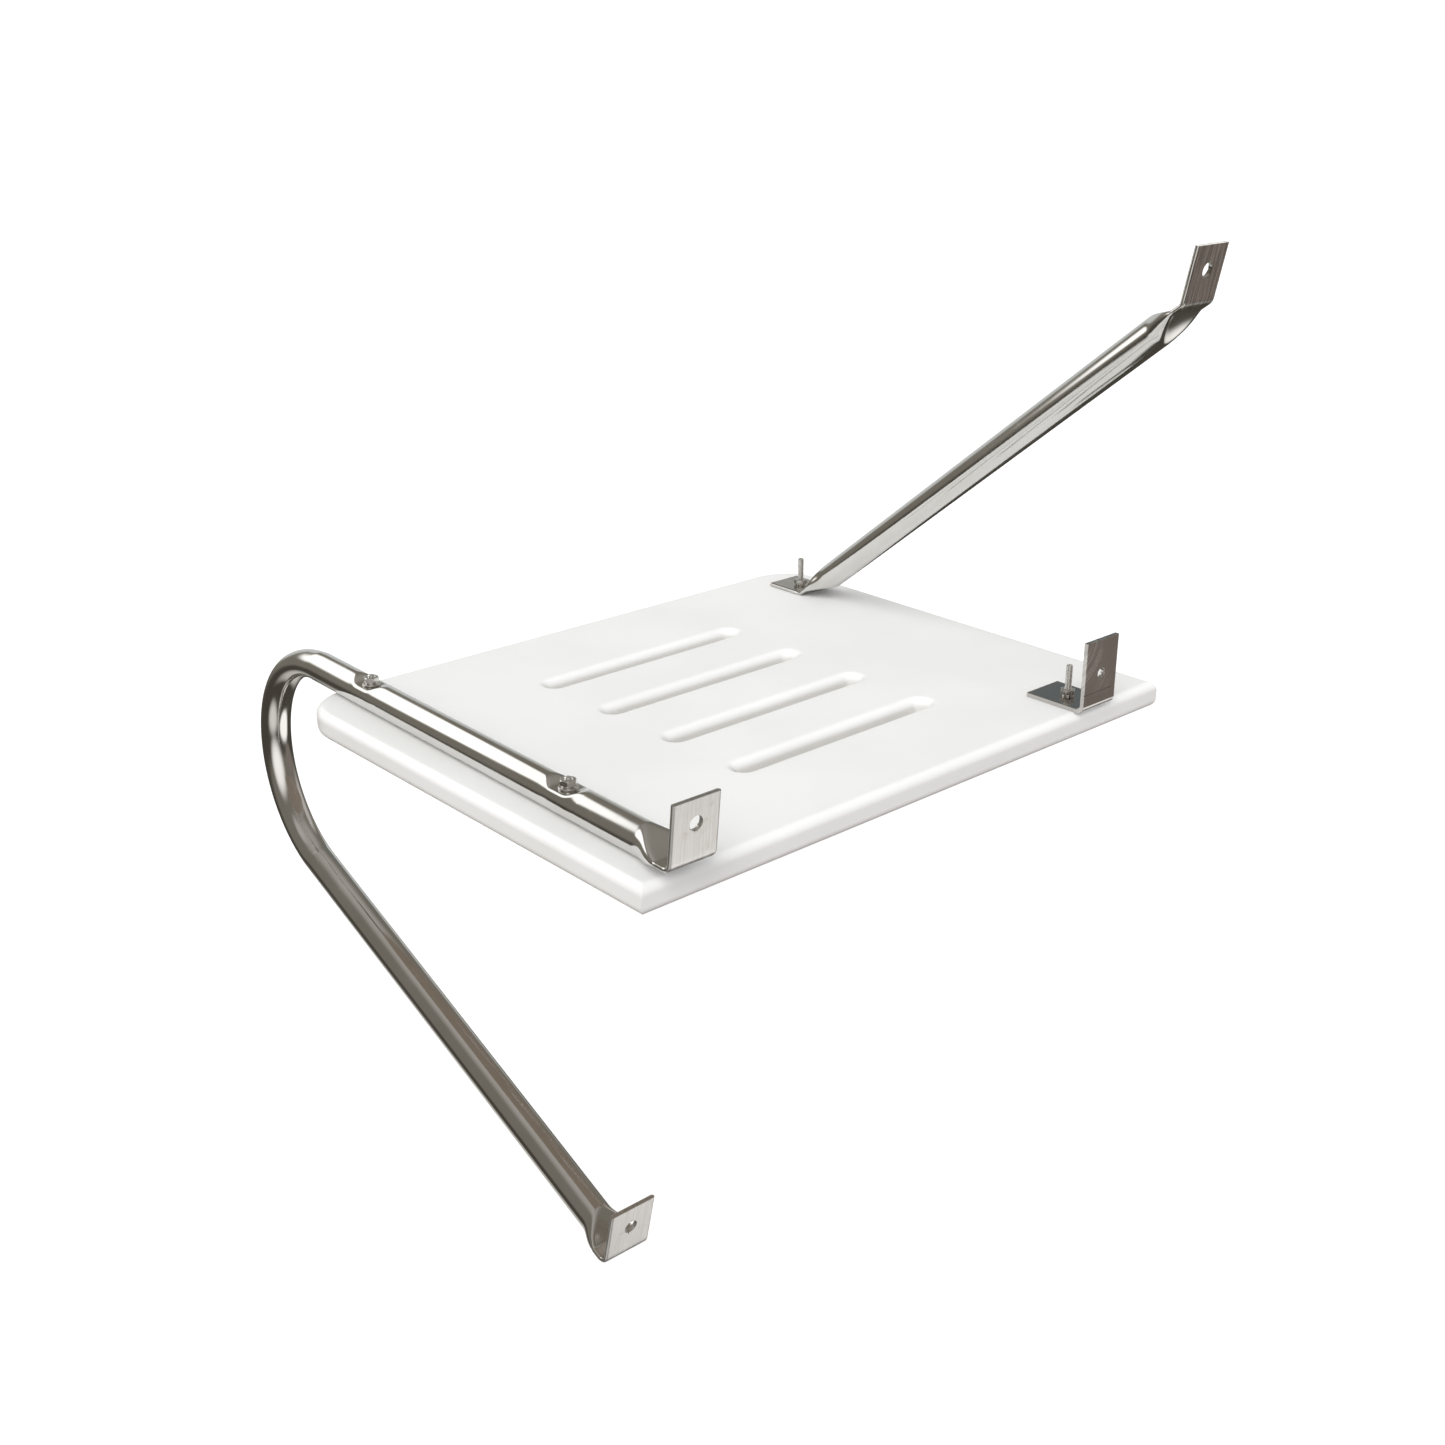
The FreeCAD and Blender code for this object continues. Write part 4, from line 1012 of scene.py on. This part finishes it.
def studio_world():
    """What each kind of ray finds past the object.

    Camera rays find white, diffuse rays an even fill, and glossy rays a dim room with pale sheets in it.
    """
    world = bpy.data.worlds.new("studio")
    world.use_nodes = True
    bpy.context.scene.world = world
    g = Graph(world.node_tree)
    background = g.tree.nodes["Background"]
    x, y, z = g.split(g.add("ShaderNodeTexCoord", output="Generated"))
    heading = g.math("ARCTAN2", x, y) * math.degrees(1)
    height = g.math("ARCSINE", z) * math.degrees(1)

    def patch(side, level, half_side, half_level, softness):
        """1 inside an oval of directions, in degrees round from +Y towards +X and up from level."""
        away = g.math("WRAP", heading - side, 180.0, -180.0) / half_side
        lift = (height - level) / half_level
        return g.ramp(away * away + lift * lift, 1 + softness, 1 - softness)

    room = g.blend(g.ramp(height, 38, 72), colour(0.215, 0.200, 0.170), colour(0.44, 0.42, 0.39))
    room = g.blend(g.ramp(height, -8, -20), room, colour(0.075, 0.068, 0.056))
    sheets = (
        (patch(34, 2, 28, 15, 0.5), colour(0.66, 0.68, 0.67)),
        (patch(53, 22, 8, 8, 0.5), colour(0.16, 0.18, 0.185)),
        (patch(44, 16, 8, 7, 0.5), colour(0.46, 0.46, 0.44)),
        (patch(4, -46, 38, 14, 0.8), colour(0.64, 0.62, 0.58)),
        (patch(-125, -53, 42, 16, 0.9), colour(0.88, 0.86, 0.83)),
        (patch(134, -44, 34, 17, 0.4), colour(1.38, 1.35, 1.32)),
        (patch(-148, -4, 34, 26, 0.9), colour(1.25, 1.22, 1.20)),
        (patch(96, 16, 16, 22, 0.9), colour(0.62, 0.59, 0.57)),
        (patch(-112, 56, 26, 14, 0.9), colour(0.52, 0.50, 0.49)),
        (patch(122, -10, 24, 14, 0.5), colour(0.25, 0.21, 0.19)),
    )
    for mask, tone in sheets:
        room = g.blend(mask, room, tone)
    rays = g.tree.nodes.new("ShaderNodeLightPath")
    glossy = Value(g, rays.outputs["Is Glossy Ray"])
    camera = Value(g, rays.outputs["Is Camera Ray"])
    fill = g.blend(g.ramp(height, -20, 8), colour(0.30, 0.24, 0.19), colour(0.64, 0.64, 0.635))
    seen = g.blend(glossy, fill, room)
    seen = g.blend(camera, seen, colour(1, 1, 1))
    g.feed(background.inputs["Color"], seen)


def softbox(name, centre, half_width, half_height, strength):
    """An upright oval of glowing cloth behind the object, dimmer and creamier towards its rim."""
    steps = 64
    vertices = [centre]
    for step in range(steps):
        angle = math.tau * step / steps
        vertices.append(centre + Vector((half_width * math.cos(angle), 0, half_height * math.sin(angle))))
    mesh = mesh_from(vertices, [(0, 1 + i, 1 + (i + 1) % steps) for i in range(steps)], name)
    glow = bpy.data.materials.new(name)
    glow.use_nodes = True
    g = Graph(glow.node_tree)
    g.tree.nodes.clear()
    x, _, z = g.split(g.place())
    across = (x - centre.x) / half_width
    lift = (z - centre.z) / half_height
    rim = across * across + lift * lift
    rim_glow = RIM_STRENGTH / strength
    cream = colour(rim_glow, 0.93 * rim_glow, 0.80 * rim_glow)
    shine = g.add("ShaderNodeEmission", sockets={
        "Color": g.blend(g.ramp(rim, 0.6, 1.0), colour(1, 1, 0.99), cream),
        "Strength": strength,
    })
    g.feed(g.tree.nodes.new("ShaderNodeOutputMaterial").inputs["Surface"], shine)
    mesh.materials.append(glow)
    panel = bpy.data.objects.new(name, mesh)
    bpy.context.scene.collection.objects.link(panel)
    panel.visible_camera = False
    panel.visible_diffuse = False
    panel.visible_shadow = False
    panel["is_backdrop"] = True


def pale_floor():
    """A plain pale floor just under the object, lit from within so that it stays near white."""
    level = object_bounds()[0].z
    corners = [(x * FLOOR_HALF, y * FLOOR_HALF, level) for x, y in ((-1, -1), (1, -1), (1, 1), (-1, 1))]
    mesh = mesh_from(corners, [(0, 1, 2, 3)], "pale_floor")
    floor = bpy.data.objects.new("pale_floor", mesh)
    bpy.context.scene.collection.objects.link(floor)
    f = Finish("pale_floor")
    grain = f.noise(f.place(), 40, 3)
    tone = f.blend(grain, colour(0.30, 0.30, 0.30), colour(0.34, 0.34, 0.34))
    mesh.materials.append(f.wear(
        Base_Color=tone,
        Roughness=0.9,
        Emission_Color=colour(1, 1, 1),
        Emission_Strength=FLOOR_GLOW,
    ))
    floor.visible_glossy = False
    floor.visible_diffuse = False
    floor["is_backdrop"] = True


def direction(side, level):
    """The unit vector at degrees round from +Y towards +X and up from level."""
    heading, lift = math.radians(side), math.radians(level)
    return Vector((math.sin(heading) * math.cos(lift), math.cos(heading) * math.cos(lift), math.sin(lift)))


def wide_sun(name, side, level, strength, tint=(1, 1, 1)):
    """Even light with soft shadows, from degrees round from +Y towards +X and up from level."""
    light = bpy.data.lights.new(name, "SUN")
    light.angle = math.radians(SUN_WIDTH)
    light.energy = strength
    light.color = tint
    lamp = bpy.data.objects.new(name, light)
    lamp.rotation_euler = direction(side, level).to_track_quat("Z", "Y").to_euler()
    lamp.visible_glossy = False
    bpy.context.scene.collection.objects.link(lamp)


def set_camera():
    """Looking down on the transom edge and along the board from the rail's side."""
    heading, roll = math.radians(CAMERA_HEADING), math.radians(CAMERA_ROLL)
    forward = direction(CAMERA_HEADING, -CAMERA_PITCH)
    level_right = Vector((math.cos(heading), -math.sin(heading), 0))
    level_up = level_right.cross(forward)
    right = level_right * math.cos(roll) + level_up * math.sin(roll)
    up = level_up * math.cos(roll) - level_right * math.sin(roll)
    lens = bpy.data.cameras.new("camera")
    lens.sensor_width = CAMERA_SENSOR
    lens.lens = CAMERA_LENS
    lens.clip_end = 50
    camera = bpy.data.objects.new("camera", lens)
    turned = Matrix((right, up, -forward)).transposed()
    camera.matrix_world = Matrix.Translation(CAMERA_PLACE) @ turned.to_4x4()
    bpy.context.scene.collection.objects.link(camera)
    bpy.context.scene.camera = camera


# ---------------------------------------------------------------- assembly

set_camera()
studio_world()
pale_floor()
softbox("softbox_behind", Vector((-0.40, 0.95, 0.56)), 0.47, 0.43, 1.6)
softbox("softbox_right", Vector((1.0, 0.38, 0.65)), 0.24, 0.11, 1.9)
wide_sun("high_left_light", -122, 46, 2.2)
wide_sun("low_front_light", -152, 4, 0.82, (0.80, 0.84, 1.0))
view = bpy.context.scene.view_settings
view.view_transform = "Standard"
view.look = "None"

board_finish = board_polyethylene()
rail_finish = polished_steel("rail_steel", rail_tabs, (0.76, 0.75, 0.73), 0.28, 0.16)
strut_finish = polished_steel("strut_steel", strut_tabs, (0.72, 0.70, 0.66), 0.10, 0.5)
bracket_finish = bracket_steel()
fastener_finish = bright_fastener()

board = frame["nodes"]["deck_board"]
board.data.materials.clear()
board.data.materials.append(board_finish)
rail_tube(rail_finish)
strut_tube(strut_finish)
angle_bracket(bracket_finish)
for number, name in enumerate(("rail_inner", "rail_outer", "strut", "bracket")):
    threaded_screw(name, fastener_finish)
    hex_nut(name, fastener_finish)
    lock_washer(name, 40 + 65 * number, fastener_finish)
    if name.startswith("rail"):
        flat_washer(name, fastener_finish)
